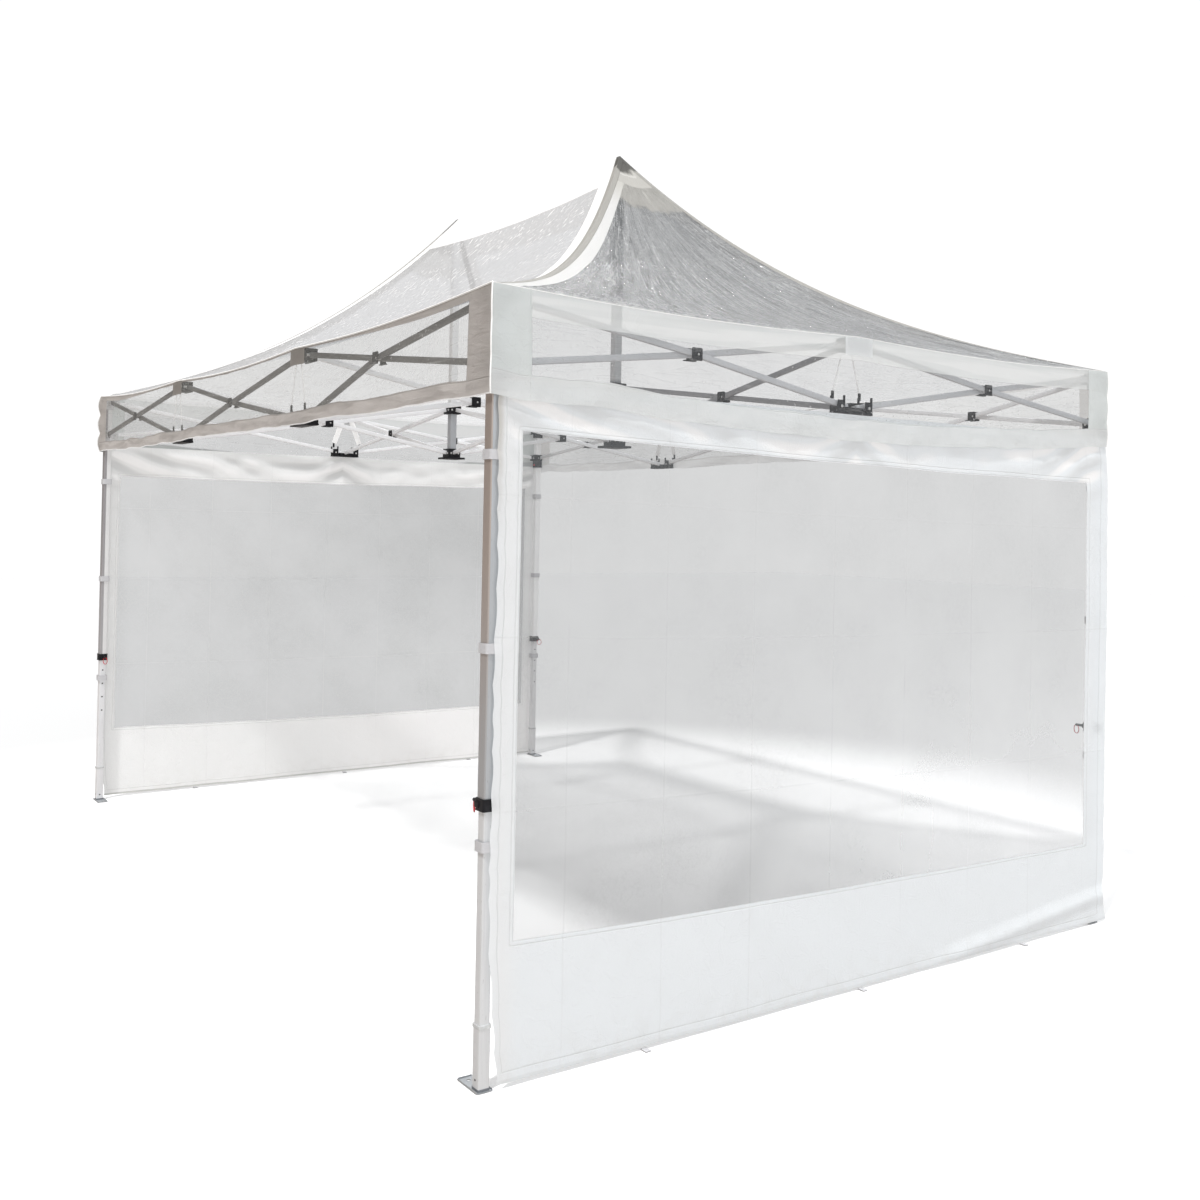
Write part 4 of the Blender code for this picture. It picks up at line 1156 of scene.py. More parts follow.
    def sew_bands(self):
        """Sews white cloth over the hips, the ridge and the peaks, with a raised strip along each hip."""
        shaded_hip = self.y.rise(0.0, 0.03) * self.on_end
        narrower = self.on_end * END_HIP_NARROWER * (1.6 - self.peak.rise(0.2, 1.2))
        hip_band = HIP_BAND - narrower - shaded_hip * BACK_HIP_NARROWER
        hip_cloth = 1 - self.hip.rise(hip_band - 0.002, hip_band)
        ridge_cloth = 1 - self.ridge.rise(RIDGE_BAND - 0.002, RIDGE_BAND)
        skirt = 1 - self.peak.rise(CAP_SKIRT - 0.004, CAP_SKIRT)
        skirt_shade = self.grain(self.flat, 9.0, 2.0).rise(0.4, 0.6)
        crescent_highlight = (1 - abs(self.ragged - CAP_REACH).rise(0.003, 0.014)) * (1 - skirt_shade) * self.on_end
        strip = 1 - self.hip.rise(HIP_STRIP, HIP_STRIP + 0.002)
        cap_shade = (1 - self.ragged.rise(CAP_REACH - 0.04, CAP_REACH - 0.01)) * self.on_end.or_more(strip)

        cloth = cloth_parts(self, self.flat, COVER_TONES["cloth"], COVER_TONES["cloth_shade"])
        # Painted shade on the end slopes' cloth, most near the peak and on the skirt and cap, and on the hip
        # strips; a painted highlight along the cap's edge.
        for share, tone in (
            (self.on_end, "end_cloth_shade"),
            (shaded_hip * hip_cloth, "shaded_hip"),
            ((1 - self.peak.rise(0.20, 0.50)) * self.on_end, "shade_by_peak"),
            (skirt * self.on_end, "skirt"),
            (crescent_highlight * 0.6, "crescent_highlight"),
            (strip, "strip"),
            (cap_shade, "cap_shade"),
        ):
            cloth["colour"] = self.mix(share, cloth["colour"], COVER_TONES[tone])
        cloth["height"] = cloth["height"] + strip * 0.8
        sew(self, hip_cloth.or_more(ridge_cloth).or_more(skirt), self.film(), cloth)


def sheet_grid(shape, columns, rows, distances):
    """Adds a flat sheet of even squares, with room on its points for the distances that its finish reads."""
    layers = shape.verts.layers.float
    for name in distances:
        if not layers.get(name):
            layers.new(name)
    points = bmesh.ops.create_grid(shape, x_segments=columns, y_segments=rows, size=0.5)["verts"]
    return points, [layers[name] for name in distances]


def lay_map(shape, name, spots):
    """Keeps where each point of a sheet lies on the flat cloth, or on another map of it."""
    layer = shape.loops.layers.uv.get(name) or shape.loops.layers.uv.new(name)
    for vert, spot in spots.items():
        for loop in vert.link_loops:
            loop[layer].uv = spot


HIP_SINE = math.sin(math.atan2(HALF_Y, HALF_X - PEAK_X))
EAVE_CORNERS = [(-HALF_X, -HALF_Y), (HALF_X, -HALF_Y), (HALF_X, HALF_Y), (-HALF_X, HALF_Y)]
cover = CoverFinish()
cover.sew_bands()
roof = bmesh.new()
flat_spots, fan_spots = {}, {}
for first_corner, second_corner in zip(EAVE_CORNERS, EAVE_CORNERS[1:] + EAVE_CORNERS[:1]):
    slope = Slope(first_corner, second_corner)
    columns = SIDE_COLUMNS if slope.is_side else END_COLUMNS
    fall = math.hypot(HALF_Y if slope.is_side else HALF_X - PEAK_X, PEAK_Z - EAVE_Z)
    points, layers = sheet_grid(roof, columns, ROOF_ROWS, ("hip", "ridge", "peak"))
    hip_layer, ridge_layer, peak_layer = layers
    for vert in points:
        t = vert.co.x + 0.5
        s = (vert.co.y + 0.5) ** ROOF_CROWDING
        place = slope.at(s, t)
        row = slope.row_length(s)
        from_peak = (place - Vector((math.copysign(PEAK_X, place.x), 0, PEAK_Z))).length
        from_hip = min(t, 1 - t) * row * HIP_SINE
        from_eave = fall * (1 - s)
        angle = math.atan2(place.y, abs(place.x) - PEAK_X)
        fan_share = min(1.0, max(0.0, (abs(place.x) - 0.3) / 0.5))
        rays = folds(angle * 9, from_peak * 1.3) * math.exp(-from_peak / 0.7) * fan_share
        sway = folds(place.x * 2.6, place.y * 2.6, 4.0)
        along_eave = place.x if slope.is_side else place.y
        edge = folds(along_eave * 1.6, from_eave * 13, 9.0) * math.exp(-from_eave / 0.18)
        fade = min(1.0, from_hip / 0.05) * min(1.0, (1 - s) / 0.02)
        place.z += (0.0025 * rays + 0.002 * sway + 0.004 * edge) * fade - 0.002
        vert[hip_layer] = from_hip
        vert[ridge_layer] = fall * s if slope.is_side else from_peak
        vert[peak_layer] = from_peak
        vert.co = place
        flat_spots[vert] = ((t - 0.5) * row, from_eave)
        fan_spots[vert] = (angle, from_peak)
lay_map(roof, "cloth", flat_spots)
lay_map(roof, "fan", fan_spots)
bmesh.ops.remove_doubles(roof, verts=roof.verts, dist=0.0002)
bmesh.ops.dissolve_degenerate(roof, edges=roof.edges, dist=0.0001)
roof_cover = add_piece("roof_cover", roof, cover.owner, replaces=["roof"], smooth=180)

# Valances
# A strip of clear film hangs from each eave, sewn between a white band at the eave and another at the
# lower edge, with a white patch at each corner and over each hub. White piping covers the seams.

VALANCE_LOW_Z = 2.003
END_VALANCE_SAG = 0.055
SIDE_VALANCE_SAG = 0.008
VALANCE_ROWS = 26
SIDE_VALANCE_COLUMNS = 420
END_VALANCE_COLUMNS = 300
PATCH_LONG = 0.135
HUB_PATCH_HALF = 0.070
HUB_PATCH_TALL = 0.066
# Lit and shaded copies of one white cloth: front painted beige as in shade, back paler, right end bluish, left
# end greyer.
FRONT_LOOK = {
    "top_band": 0.010, "corner_fold": 0.018, "low_band": 0.054, "waviness": 0.018, "gather": 1.0,
    "patch": (0.54, 0.51, 0.485), "shade": (0.38, 0.355, 0.335), "top": (0.56, 0.53, 0.50),
    "low": (0.60, 0.57, 0.545), "hub_patch": (0.30, 0.28, 0.26), "hub_at": PEAK_X,
    "top_alpha": 1.0, "cloth_alpha": 1.0, "film_alpha": 0.28, "milky": 0.5, "hem_highlight": 0.9,
    "milk": (0.86, 0.86, 0.81), "seam": 0.6,
}
BACK_LOOK = FRONT_LOOK | {
    "gather": 0.6, "patch": (0.66, 0.63, 0.59), "shade": (0.58, 0.55, 0.51), "top": (0.84, 0.84, 0.83),
    "low": (0.97, 0.97, 0.97), "hub_patch": (0.80, 0.80, 0.79), "cloth_alpha": 0.6,
}
RIGHT_LOOK = {
    "top_band": 0.084, "corner_fold": 0.0, "low_band": 0.078, "waviness": 0.012, "gather": 0.35,
    "patch": (0.70, 0.735, 0.73), "shade": (0.60, 0.63, 0.63), "top": (0.76, 0.775, 0.77),
    "low": (0.71, 0.725, 0.725), "hub_patch": (0.74, 0.765, 0.775), "hub_at": 0.0,
    "top_alpha": 0.72, "cloth_alpha": 1.0, "film_alpha": 0.22, "milky": 0.16, "hem_highlight": 0.0,
    "milk": (0.82, 0.84, 0.85), "seam": 0.15,
}
LEFT_LOOK = RIGHT_LOOK | {
    "top": (0.64, 0.655, 0.655), "low": (0.50, 0.52, 0.52), "hub_patch": (0.70, 0.715, 0.72),
    "film_alpha": 0.52, "milky": 0.2,
}
SIDE_PIPING_R = 0.0036
END_PIPING_R = 0.0010
CORNER_PIPING_R = 0.0028
CORNER_SCALLOP = 0.003
FRONT_LEFT_SCALLOP = 0.012
CORNER_SCALLOPS = 3
EAVE_POINTS = 72
CORNER_POINTS = 48


def curved_line(shape, points, radius, sides=8):
    """Adds a round bead that follows a row of points."""
    path = [Vector(point) for point in points]
    before = set(shape.verts)
    rings = []
    for i, point in enumerate(path):
        ahead = path[min(i + 1, len(path) - 1)] - path[max(i - 1, 0)]
        ring = bmesh.ops.create_circle(shape, segments=sides, radius=radius, cap_ends=i in (0, len(path) - 1))
        turn = Vector((0, 0, 1)).rotation_difference(ahead).to_matrix().to_4x4()
        bmesh.ops.transform(shape, matrix=Matrix.Translation(point) @ turn, verts=ring["verts"])
        rings.append(ring["verts"])
    for first, second in zip(rings, rings[1:]):
        edges = edges_of(first + second)
        rims = [edge for edge in edges if set(edge.verts) <= set(first) or set(edge.verts) <= set(second)]
        bmesh.ops.bridge_loops(shape, edges=rims)
    return fresh(shape, before)


def valance_finish(name, look):
    """Clear film with cloth bands above and below, a patch at each corner and one over each hub."""
    made = Finish(name, {"Specular IOR Level": 0.5})
    spot = made.spot(uv="cloth")
    top, low, end = made.stored("top"), made.stored("low"), made.stored("end")
    uneven = (made.grain(spot, 4.0, 2.0) - 0.5) * look["waviness"]
    top_band = (1 - end.rise(0.3, 1.1)) * look["corner_fold"] + look["top_band"]
    low_band, gather = look["low_band"], look["gather"]
    upper = 1 - (top + uneven * 0.6).rise(top_band - 0.003, top_band)
    lower = 1 - (low - uneven).rise(low_band - 0.002, low_band)
    patch = 1 - (end + uneven * 0.5).rise(PATCH_LONG - 0.002, PATCH_LONG)
    gathered = patch.or_more(lower)
    from_hub = abs(abs(made.node("SeparateXYZ", None, {"Vector": spot}, "X")) - look["hub_at"])
    hub_patch = 1 - from_hub.rise(HUB_PATCH_HALF - 0.002, HUB_PATCH_HALF)
    hub_patch = hub_patch * (1 - top.rise(HUB_PATCH_TALL - 0.002, HUB_PATCH_TALL))

    def streaks(stretch, turn, distortion):
        """Streaks that run nearly level along the strip."""
        return made.grain(made.spot(stretch, uv="cloth", turn=(0.0, 0.0, turn)), 1.0, 3.0, distortion)

    clouds = made.grain(spot, 5.0, 3.0)
    # Painted glints whiten the film here and there.
    creases = crease_net(made, spot, clouds) * 0.14 + glints(made, spot, clouds, 0.74) * 0.8
    creases = creases + streaks((3.0, 30.0, 1.0), 0.12, 0.4).line(0.025) * 0.3
    film = film_parts(made, creases, clouds, look["film_alpha"])
    film["colour"] = made.mix(look["milky"], film["colour"], look["milk"])

    puckers = made.grain(made.spot((3.0, 19.0, 1.0), uv="cloth"), 1.0, 2.0, 0.5) * gather
    tucks = made.grain(made.spot((5.0, 30.0, 1.0), uv="cloth"), 1.0, 2.0, 0.6).rise(0.35, 0.7) * gather
    # Painted shade on the top band: along its pulled folds and just under the eave.
    pulled_fold_shade = streaks((1.5, 30.0, 1.0), 0.06, 0.6).rise(0.44, 0.62)
    shade_under_eave = (1 - (top + uneven).rise(0.004, 0.030)) * 0.5
    hem_fold_shade = 1 - abs(low - uneven - (low_band - 0.004)).rise(0.001, 0.004)
    banded = made.mix((pulled_fold_shade * 0.45 + shade_under_eave).within_one(), look["top"], look["shade"])
    cloth = cloth_parts(made, spot, look["patch"], look["shade"])
    # Painted shade in the puckers, the tucks and the turned hem, and a painted highlight along the lower edge.
    for share, tone in (
        (upper * (1 - patch), banded),
        (hub_patch, look["hub_patch"]),
        (lower, made.mix(tucks * 0.6, look["low"], look["shade"])),
        (puckers.rise(0.45, 0.75) * patch * 0.7, look["shade"]),
        ((1 - low.rise(0.004, 0.006)) * look["hem_highlight"], (0.96, 0.96, 0.96)),
        (hem_fold_shade * look["seam"], look["shade"]),
    ):
        cloth["colour"] = made.mix(share, cloth["colour"], tone)
    doubled = (gathered * (1 - look["top_alpha"]) + look["top_alpha"]).or_more(hub_patch)
    cloth["alpha"] = doubled * look["cloth_alpha"]
    stitched = (abs(low - (low_band - 0.006))).or_less(abs(end - (PATCH_LONG - 0.006)))
    stitched = 1 - stitched.rise(0.0006, 0.002)
    cloth["height"] = cloth["height"] + (puckers * 1.2 + tucks * 0.4) * gathered - stitched * 0.25
    sew(made, upper.or_more(gathered).or_more(hub_patch), film, cloth)
    return made.owner


def corner_scallop(x, y, share):
    """How far the loose seam at a corner bulges; it does so most at the far end of the front."""
    depth = FRONT_LEFT_SCALLOP if x < 0 and y < 0 else CORNER_SCALLOP
    return depth * abs(math.sin(math.pi * CORNER_SCALLOPS * share))


def make_valance(side, line, look):
    """A hanging strip along one eave, which ripples a little more towards its lower edge."""
    is_side = line.along.x > 0.5
    outward = math.copysign(1, line.origin.x + line.origin.y)
    half = HALF_X if is_side else HALF_Y
    sag = SIDE_VALANCE_SAG if is_side else END_VALANCE_SAG
    seed = 3.0 * line.origin.x + 5.0 * line.origin.y
    shape = bmesh.new()
    columns = SIDE_VALANCE_COLUMNS if is_side else END_VALANCE_COLUMNS
    points, layers = sheet_grid(shape, columns, VALANCE_ROWS, ("top", "low", "end"))
    top_layer, low_layer, end_layer = layers
    spots = {}
    for vert in points:
        share, down = vert.co.x + 0.5, 0.5 - vert.co.y
        along = half * (2 * share - 1)
        end = half - abs(along)
        top_z = EAVE_Z - eave_drop(share, is_side) - 0.002
        low_z = VALANCE_LOW_Z - sag * math.sin(math.pi * share)
        waver = 0.010 * noise.noise(Vector((along * 3.2, seed, 0)))
        waver += 0.005 * noise.noise(Vector((along * 9, seed, 3)))
        low_z += waver * min(1.0, end / 0.1)
        height = top_z + (low_z - top_z) * down
        loose = down * min(1.0, end / 0.05)
        ripple = 0.007 * folds(along * 3.5, down * 0.8, seed) + 0.002 * folds(along * 14, down * 3, seed + 2)
        at = line.origin + line.along * along
        scallop = corner_scallop(at.x, at.y, down)
        push = 0.0005 + ripple * loose + scallop * max(0.0, 1 - end / 0.06)
        vert[top_layer] = top_z - height
        vert[low_layer] = height - low_z
        vert[end_layer] = end
        spots[vert] = (along, height)
        vert.co = Vector((along, outward * push, height))
    lay_map(shape, "cloth", spots)
    line.set_down(shape)
    film = valance_finish(f"{side}_valance_film_and_bands", look)
    return add_piece(
        f"{side}_valance_strip", shape, film, replaces=[f"{side}_valance"], smooth=180
    )


valances = {
    "front": make_valance("front", Line((0, -HALF_Y), True), FRONT_LOOK),
    "back": make_valance("back", Line((0, HALF_Y), True), BACK_LOOK),
    "left": make_valance("left", Line((-HALF_X, 0), False), LEFT_LOOK),
    "right": make_valance("right", Line((HALF_X, 0), False), RIGHT_LOOK),
}

piping_cloth = Finish("piping_cloth", {"Roughness": 0.6})
twist = piping_cloth.grain(piping_cloth.spot((1.0, 1.0, 1.0)), 700.0, 2.0)
piping_cloth.feed({"Base Color": piping_cloth.mix(twist, (0.80, 0.80, 0.79), (0.93, 0.93, 0.92))})
piping_cloth.feed({"Normal": piping_cloth.bump(twist, 0.0003)})
piping = bmesh.new()
eave_lines = [Line((0, y), True) for y in (-HALF_Y, HALF_Y)]
eave_lines += [Line((x, 0), False) for x in (-HALF_X, HALF_X)]
for line in eave_lines:
    is_side = line.along.x > 0.5
    half, radius = (HALF_X, SIDE_PIPING_R) if is_side else (HALF_Y, END_PIPING_R)
    shares = [i / EAVE_POINTS for i in range(EAVE_POINTS + 1)]
    bead = [(half * (2 * share - 1), 0, EAVE_Z - eave_drop(share, is_side) - 0.0015) for share in shares]
    line.set_down(piping, curved_line(piping, bead, radius))
for x, y in EAVE_CORNERS:
    bead = []
    for share in (i / CORNER_POINTS for i in range(CORNER_POINTS + 1)):
        out = corner_scallop(x, y, 1 - share)
        z = VALANCE_LOW_Z + (EAVE_Z - VALANCE_LOW_Z) * share
        bead.append((x + math.copysign(out, x), y + math.copysign(out, y), z))
    curved_line(piping, bead, CORNER_PIPING_R)
add_piece("cover_piping", piping, piping_cloth.owner, smooth=60)

# Tie tapes
# From each hub under the eaves two white tapes run down to black hooks on the ears of the hub below it,
# and hold the cover down. Those on the front and on the right end are narrower cords.

TAPE_WIDE = 0.034
CORD_WIDE = 0.005
TAPE_THICK = 0.0014
TAPE_SPREADS = (0.027, 0.086)
CORD_SPREADS = (0.020, 0.066)
TAPE_AWAY = HUB_ACROSS / 2 + 0.0015
HOOK_WIDE = 0.011
HOOK_TALL = 0.028


def webbing_finish(name, dull, bright):
    """Woven tape, ribbed across its length and a little fluffy."""
    tape = Finish(name, {"Roughness": 0.7})
    run_spot = tape.spot(uv="run")
    ribs = (tape.node("SeparateXYZ", None, {"Vector": run_spot}, "X") * 2600.0).wave() * 0.5 + 0.5
    fluff = tape.grain(run_spot, 90.0, 3.0)
    tape.feed({"Base Color": tape.mix(fluff * 0.6 + ribs * 0.2, dull, bright)})
    tape.feed({"Normal": tape.bump(ribs * 0.4 + fluff * 0.3, 0.0006)})
    return tape.owner


tape_webbing = webbing_finish("tape_webbing", (0.90, 0.90, 0.895), (0.98, 0.98, 0.975))
strap_webbing = webbing_finish("strap_webbing", (0.50, 0.50, 0.515), (0.58, 0.58, 0.595))


def add_tapes(side, line, hubs, wide, outward, high_z, low_z):
    """Two tapes at each hub, which spread towards their hooks."""
    tapes, hooks = bmesh.new(), bmesh.new()
    across = outward * TAPE_AWAY
    top_spread, low_spread = TAPE_SPREADS if wide == TAPE_WIDE else CORD_SPREADS
    for hub in hubs:
        for way in (-1, 1):
            start = Vector((hub + way * top_spread, across, high_z))
            end = Vector((hub + way * low_spread, across, low_z + HOOK_TALL))
            span = end - start
            half = Vector((wide / 2, TAPE_THICK / 2, span.length / 2))
            before = set(tapes.verts)
            add_block(tapes, -half, half, 0.0004, 1)
            verts = fresh(tapes, before)
            lay_run(tapes, verts, (0, 0, 1), (1, 0, 0))
            lean = Matrix.Rotation(math.atan2(span.x, span.z), 4, "Y")
            bmesh.ops.transform(tapes, matrix=Matrix.Translation((start + end) / 2) @ lean, verts=verts)
            low = Vector((hub + way * (low_spread + 0.002) - HOOK_WIDE / 2, across - 0.003, low_z))
            add_block(hooks, low, low + Vector((HOOK_WIDE, 0.006, HOOK_TALL)), 0.0015)
    line.set_down(tapes)
    line.set_down(hooks)
    add_piece(f"{side}_tie_tapes", tapes, tape_webbing)
    add_piece(f"{side}_tape_hooks", hooks, black_nylon)


side_hubs, side_levels = (-PEAK_X, PEAK_X), (SIDE_HIGH_HUB_Z - 0.010, SIDE_LOW_HUB_Z + 0.030)
for side, y, wide in (("front", -LEG_Y, CORD_WIDE), ("back", LEG_Y, TAPE_WIDE)):
    add_tapes(side, Line((0, y), True), side_hubs, wide, math.copysign(1, y), *side_levels)
end_levels = (END_HIGH_HUB_Z - 0.010, END_LOW_HUB_Z + 0.030)
for side, x, wide in (("left", -LEG_X, TAPE_WIDE), ("right", LEG_X, CORD_WIDE)):
    add_tapes(side, Line((x, 0), False), (0.0,), wide, -math.copysign(1, x), *end_levels)

# End walls
# Each end wall is a white polyester frame round one large clear window, sewn with a narrow hem. It
# hangs inside the valance, is strapped round both legs and has loops for pegs along the ground.

WALL_X = 2.2442
WALL_END_Y = 1.475
WINDOW_END_Y = 1.385
WALL_TOP_Z = 2.040
WALL_LOW_Z = 0.006
WINDOW_LOW_Z = 0.385
WINDOW_TOP_Z = 1.877
BORDER_COLUMNS = 12
WINDOW_COLUMNS = 170
WINDOW_ROWS = 70
LOW_ROWS = 30
TOP_ROWS = 20
HELD_TOPS = ((-WALL_END_Y, 0.9), (0.0, 0.35), (WALL_END_Y, 0.55))
# Lit and shaded copies of one polyester: the right wall painted bluish as in shade, the left with painted
# sunlight.
WALL_LOOKS = {
    "left": {
        "white": (0.885, 0.895, 0.895), "shade": (0.85, 0.86, 0.86), "front_end": (0.74, 0.745, 0.74),
        "swag_shade": (0.60, 0.61, 0.61), "swag_depth": 0.009, "sunlit": 1.0, "ground_shadow_line": 0.7,
        "let_through": 0.12, "window_tilt": (0.006, -0.014), "haze_towards": (-1.2, 0.9),
        "film": 0.545, "creases": 0.30, "haze": 0.10, "milk": 0.02, "milky": 0.2, "greyed": 1.0,
    },
    "right": {
        "white": (0.85, 0.885, 0.91), "shade": (0.82, 0.85, 0.87), "front_end": (0.88, 0.885, 0.885),
        "swag_shade": (0.72, 0.74, 0.75), "swag_depth": 0.004, "sunlit": 0.0, "ground_shadow_line": 0.15,
        "let_through": 0.3, "window_tilt": (-0.020, -0.027), "haze_towards": (0.4, -1.4),
        "film": 0.43, "creases": 0.16, "haze": 0.03, "milk": 0.04, "milky": 0.95, "greyed": 0.0,
    },
}
FILM_BEHIND = (0.43, 0.445, 0.45)
FILM_MILK = (0.49, 0.51, 0.525)
FILM_FOLD = (0.50, 0.51, 0.51)
FAR_END_OUT = 0.048
SEAM_IN = 0.012
FOLD_EVERY = 0.37
FOLD_LEVELS = (1.687, 1.269, 0.762)
HEM_TALL = 0.030
SEAM_WIDE = 0.014
STRAP_TALL = 0.030
STRAP_ACROSS = 0.050
STRAP_THICK = 0.0024
STRAP_HEIGHTS = (1.83, 1.27, 0.70)
PEG_LOOPS_Y = (-0.90, 0.064, 0.98)
LOOP_OUT = 0.026
LOOP_WIDE = 0.022


def spread_places(knots, counts):
    """Evenly spread places between each pair of neighbouring knots."""
    places = [knots[0]]
    for start, end, count in zip(knots, knots[1:], counts):
        places += [start + (end - start) * (i + 1) / count for i in range(count)]
    return places


def old_folds(finish, spot, soft):
    """The straight creases that are left where the wall lay folded in its bag."""
    along = finish.node("SeparateXYZ", None, {"Vector": spot}, "X")
    up = along.other("Y")
    away = (along + FOLD_EVERY * 0.27).every(FOLD_EVERY)
    for level_z in FOLD_LEVELS:
        away = away.or_less(abs(up - level_z))
    return (1 - away.rise(0.001, 0.005)) * soft.rise(0.3, 0.6)


def wall_polyester(side, look):
    """Polyester with a sewn hem and window seam, old folds, painted light and shade, and a little dirt along
    the ground.
    """
    finish = Finish(f"{side}_wall_polyester", {"Specular IOR Level": 0.4})
    spot = finish.spot(uv="cloth")
    along = finish.node("SeparateXYZ", None, {"Vector": spot}, "X")
    up = along.other("Y")
    hem, rim, swag = finish.stored("hem"), finish.stored("rim"), finish.stored("swag")
    stitched = abs(hem - HEM_TALL).or_less(abs(rim - SEAM_WIDE)).or_less(abs(rim - 0.002))
    stitched = 1 - stitched.rise(0.0008, 0.0028)
    laid = old_folds(finish, spot, finish.grain(spot, 1.5, 1.0))
    dirt = (1 - up.rise(0.0, 0.16)) * finish.grain(spot, 16.0, 4.0).rise(0.4, 0.7) * 0.14
    ground_shadow_line = 1 - up.rise(WALL_LOW_Z + 0.007, WALL_LOW_Z + 0.013)
    rolled_edge_shade = (1 - hem.rise(0.004, 0.03)) * (1 - along.rise(-1.2, -1.1)) * up.rise(1.5, 1.95)
    sunlit = along.rise(-0.6, 0.6) * (1 - up.rise(0.4, 0.9))
    cloth = cloth_parts(finish, spot, look["white"], look["shade"])
    tone = cloth["colour"]
    for share, towards in (
        # Painted shade at the left wall's front end, a painted sunlit patch, and painted highlights and shade
        # on the top folds.
        ((1 - along.rise(-1.44, -1.34)) * 0.6, look["front_end"]),
        (sunlit * look["sunlit"], (1.0, 1.0, 1.0)),
        ((1 - swag.rise(-0.6, -0.1)) * 0.9, (1.0, 1.0, 1.0)),
        (swag.rise(0.0, 0.7) * 0.7, look["swag_shade"]),
        # Painted shadow along the ground and painted shade in the rolled edge.
        (ground_shadow_line * look["ground_shadow_line"], (0.46, 0.47, 0.44)),
        (rolled_edge_shade * 0.6, (0.50, 0.46, 0.40)),
        (dirt, (0.62, 0.60, 0.56)),
        (stitched * 0.35 + laid * 0.12, (0.64, 0.65, 0.65)),
    ):
        tone = finish.mix(share, tone, towards)
    finish.let_through(look["let_through"], tone)
    finish.feed({
        "Base Color": tone,
        "Roughness": cloth["roughness"],
        "Normal": finish.bump(cloth["height"] + laid * 0.2 - stitched * 0.3, 0.003),
    })
    return finish.owner


def window_film(side, look):
    """Clear film with old folds and a few creases, hazy towards one upper corner and milky low down."""
    finish = Finish(f"{side}_window_film", {"Specular IOR Level": 0.5})
    spot = finish.spot(uv="cloth")
    clouds = finish.grain(spot, 3.0, 3.0)
    laid = old_folds(finish, spot, clouds)
    creases = crease_net(finish, spot, clouds) * look["creases"]
    along = finish.node("SeparateXYZ", None, {"Vector": spot}, "X")
    haze = along.rise(*look["haze_towards"]) * along.other("Y").rise(0.6, 1.6)
    milk = along.rise(-0.8, 0.9) * (1 - along.other("Y").rise(0.5, 1.5))
    film = film_parts(finish, creases, clouds, look["film"])
    colour = finish.mix((0.8 - haze * 0.25) * look["greyed"], film["colour"], FILM_BEHIND)
    colour = finish.mix(milk * look["milky"], colour, FILM_MILK)
    colour = finish.mix(laid * 0.35, colour, FILM_FOLD)
    alpha = (film["alpha"] + laid * 0.05 + haze * look["haze"] + milk * look["milk"]).within_one()
    finish.let_through(0.4, colour, alpha)
    finish.feed({
        "Base Color": colour,
        "Roughness": film["roughness"],
        "Alpha": alpha,
        "Normal": finish.bump(film["height"] + laid * 0.3, 0.0012),
    })
    return finish.owner


def swags(y, z):
    """Diagonal folds that run down from where the wall's top is held, at both ends and in the middle."""
    below = WALL_TOP_Z - z
    total = 0.0
    for held_y, reach in HELD_TOPS:
        run = abs(y - held_y)
        wander = 2.5 * noise.noise(Vector((run * 2.5, below * 5, held_y)))
        crest = math.sin(run * 15 - below * 48 + wander * 1.3)
        total += crest * math.exp(-run / reach)
    return total * min(1.0, below / 0.05) * math.exp(-max(0.0, below - 0.10) / 0.12)


def end_inset(way, y, z):
    """How far a wall's end hangs in from its line. The right wall's far end hangs out round its leg."""
    wave = 0.006 * abs(math.sin(27 * z + 2 * noise.noise(Vector((3 * z, 7 * way, 1)))))
    if way > 0 and y > 0:
        out = FAR_END_OUT * min(1.0, 0.5 + (WALL_TOP_Z - z) / 0.3)
        out += 0.022 * max(0.0, 1 - z / 0.12) - 0.013 * math.exp(-((z - 0.14) / 0.06) ** 2)
        return 0.5 * wave - out
    inset = 0.006 + wave + 0.008 * noise.noise(Vector((2.4 * z, 7 * way, 1)))
    if y < 0:
        inset += 0.036 * max(0.0, 1 - z / 0.38) ** 1.5
    return max(0.0, inset)


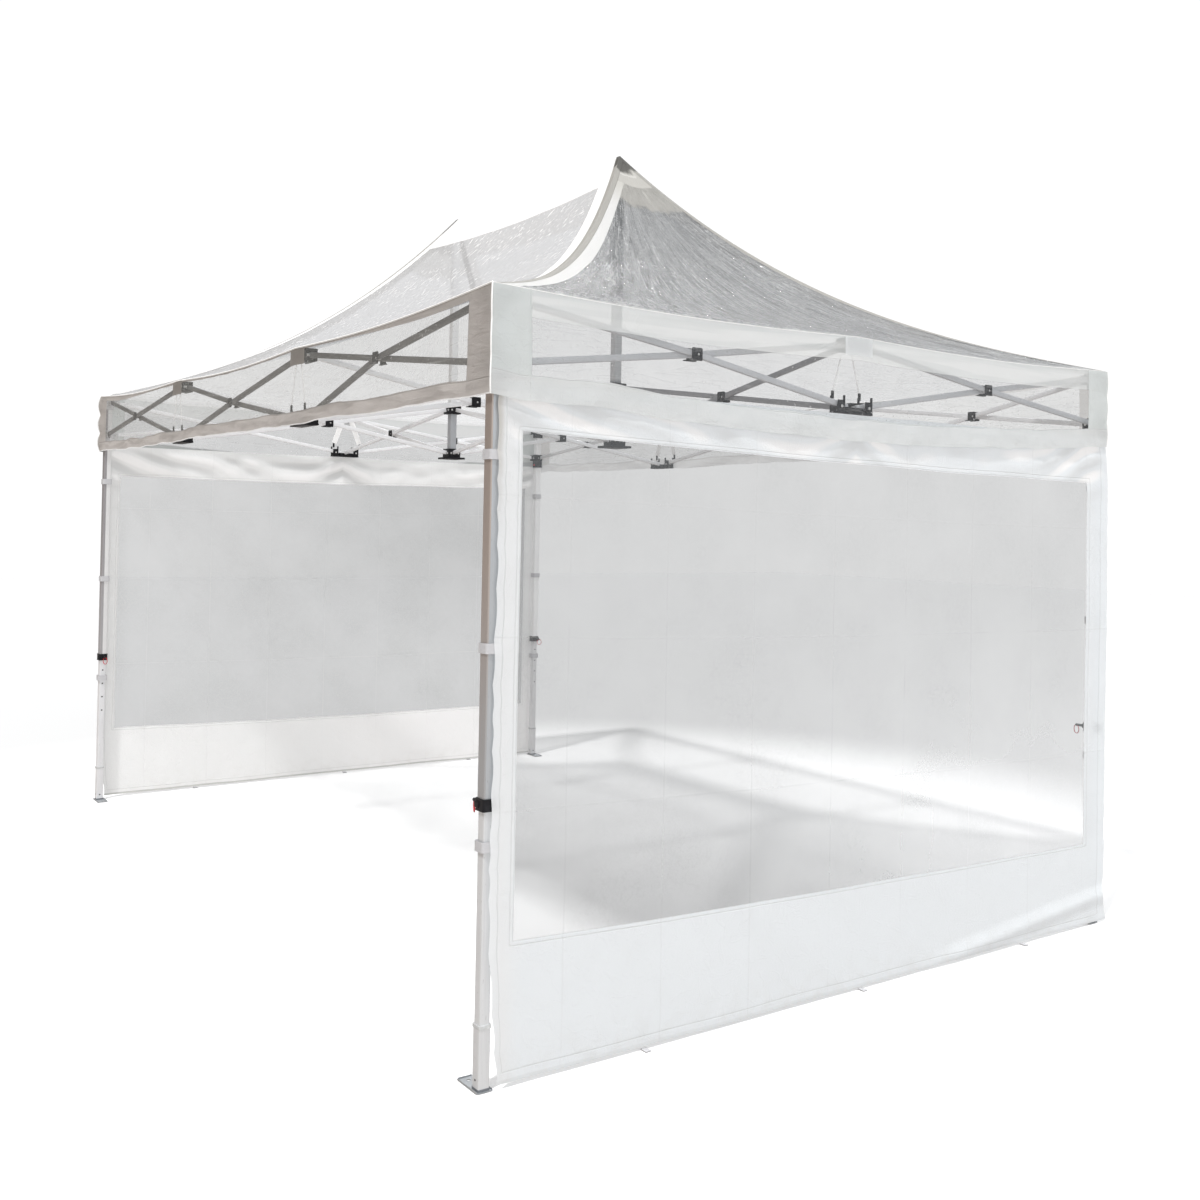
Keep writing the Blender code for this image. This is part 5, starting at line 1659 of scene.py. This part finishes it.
def make_end_wall(side, way):
    """The wall is laid out as one sheet, and its window and its frame are then parted at the seam."""
    look = WALL_LOOKS[side]
    knots_y = (-WALL_END_Y, -WINDOW_END_Y, WINDOW_END_Y, WALL_END_Y)
    knots_z = (WALL_LOW_Z, WINDOW_LOW_Z, WINDOW_TOP_Z, WALL_TOP_Z)
    places_y = spread_places(knots_y, (BORDER_COLUMNS, WINDOW_COLUMNS, BORDER_COLUMNS))
    places_z = spread_places(knots_z, (LOW_ROWS, WINDOW_ROWS, TOP_ROWS))
    columns, rows = len(places_y) - 1, len(places_z) - 1
    shape = bmesh.new()
    points, layers = sheet_grid(shape, columns, rows, ("hem", "rim", "swag"))
    hem_layer, rim_layer, swag_layer = layers
    top_tilt, low_tilt = look["window_tilt"]
    spots = {}
    for vert in points:
        y = places_y[round((vert.co.x + 0.5) * columns)]
        z = places_z[round((vert.co.y + 0.5) * rows)]
        from_end = WALL_END_Y - abs(y)
        raised = max(0.0, min(1.0, (z - WINDOW_LOW_Z) / (WINDOW_TOP_Z - WINDOW_LOW_Z)))
        slack = min(1.0, z / WINDOW_LOW_Z) * min(1.0, (WALL_TOP_Z - z) / (WALL_TOP_Z - WINDOW_TOP_Z))
        tilt = (top_tilt * raised + low_tilt * (1 - raised)) * y
        dip = 0.012 * (1 - (y / WALL_END_Y) ** 2) + 0.003 * noise.noise(Vector((y * 3.0, z * 2, way)))
        lift = 0.006 * (1 + noise.noise(Vector((y * 2.6, way * 4, 2)))) * max(0.0, 1 - z / 0.25)
        edge = max(0.0, 1 - from_end / (WALL_END_Y - WINDOW_END_Y))
        inset = end_inset(way, y, z) * edge * math.copysign(1, y)
        belly = 0.004 * folds(y * 1.1, z * 0.9, way * 3) + 0.0012 * folds(y * 5, z * 4, way * 5) - 0.001
        if way > 0 and y > 0:
            inset += SEAM_IN * max(0.0, 1 - abs(y - WINDOW_END_Y) / 0.08)
        if way > 0 and y > 0.4:
            from_fold = abs(z - 0.02 - 0.11 * (y - 0.5))
            belly += 0.011 * max(0.0, 1 - from_fold / 0.05) * min(1.0, (y - 0.4) / 0.2)
        hang = min(1.0, max(0.0, (WALL_TOP_Z - z) / 0.3))
        swag = swags(y, z) * min(1.0, from_end / 0.06)
        spots[vert] = (y, z)
        vert[hem_layer] = min(from_end, z - WALL_LOW_Z)
        vert[rim_layer] = max(abs(y) - WINDOW_END_Y, WINDOW_LOW_Z - z, z - WINDOW_TOP_Z)
        vert[swag_layer] = swag
        out = WALL_X + belly * hang + look["swag_depth"] * swag
        vert.co = Vector((way * out, y - inset, z + (tilt - dip) * slack + lift))
    lay_map(shape, "cloth", spots)

    for face in shape.faces:
        y, z = (sum(spots[vert][i] for vert in face.verts) / len(face.verts) for i in (0, 1))
        face.material_index = int(abs(y) < WINDOW_END_Y and WINDOW_LOW_Z < z < WINDOW_TOP_Z)
    window = shape.copy()
    frame_faces = [face for face in window.faces if not face.material_index]
    bmesh.ops.delete(shape, geom=[face for face in shape.faces if face.material_index], context="FACES")
    bmesh.ops.delete(window, geom=frame_faces, context="FACES")
    for face in window.faces:
        face.material_index = 0
    fabric = add_piece(
        f"{side}_wall_cloth", shape, wall_polyester(side, look),
        replaces=[f"{side}_wall_border"], smooth=180,
    )
    clear = add_piece(
        f"{side}_wall_film", window, window_film(side, look),
        replaces=[f"{side}_wall_window"], smooth=180,
    )


for side, way in (("left", -1), ("right", 1)):
    make_end_wall(side, way)

for corner, place in CORNERS.items():
    straps = bmesh.new()
    for middle in STRAP_HEIGHTS:
        add_band(straps, STRAP_ACROSS, STRAP_THICK, middle - STRAP_TALL / 2, middle + STRAP_TALL / 2, 0.008)
    shift_all(straps, place)
    add_piece(f"wall_straps_{corner}", straps, strap_webbing)

for side, way in (("left", -1), ("right", 1)):
    loops = bmesh.new()
    for y in PEG_LOOPS_Y:
        near = (way * (WALL_X - 0.002), y - LOOP_WIDE / 2, 0.0006)
        far = (way * (WALL_X + LOOP_OUT), y + LOOP_WIDE / 2, 0.0040)
        lay_run(loops, add_block(loops, near, far, 0.0012), (0, 1, 0), (1, 0, 1))
    add_piece(f"{side}_peg_loops", loops, strap_webbing)
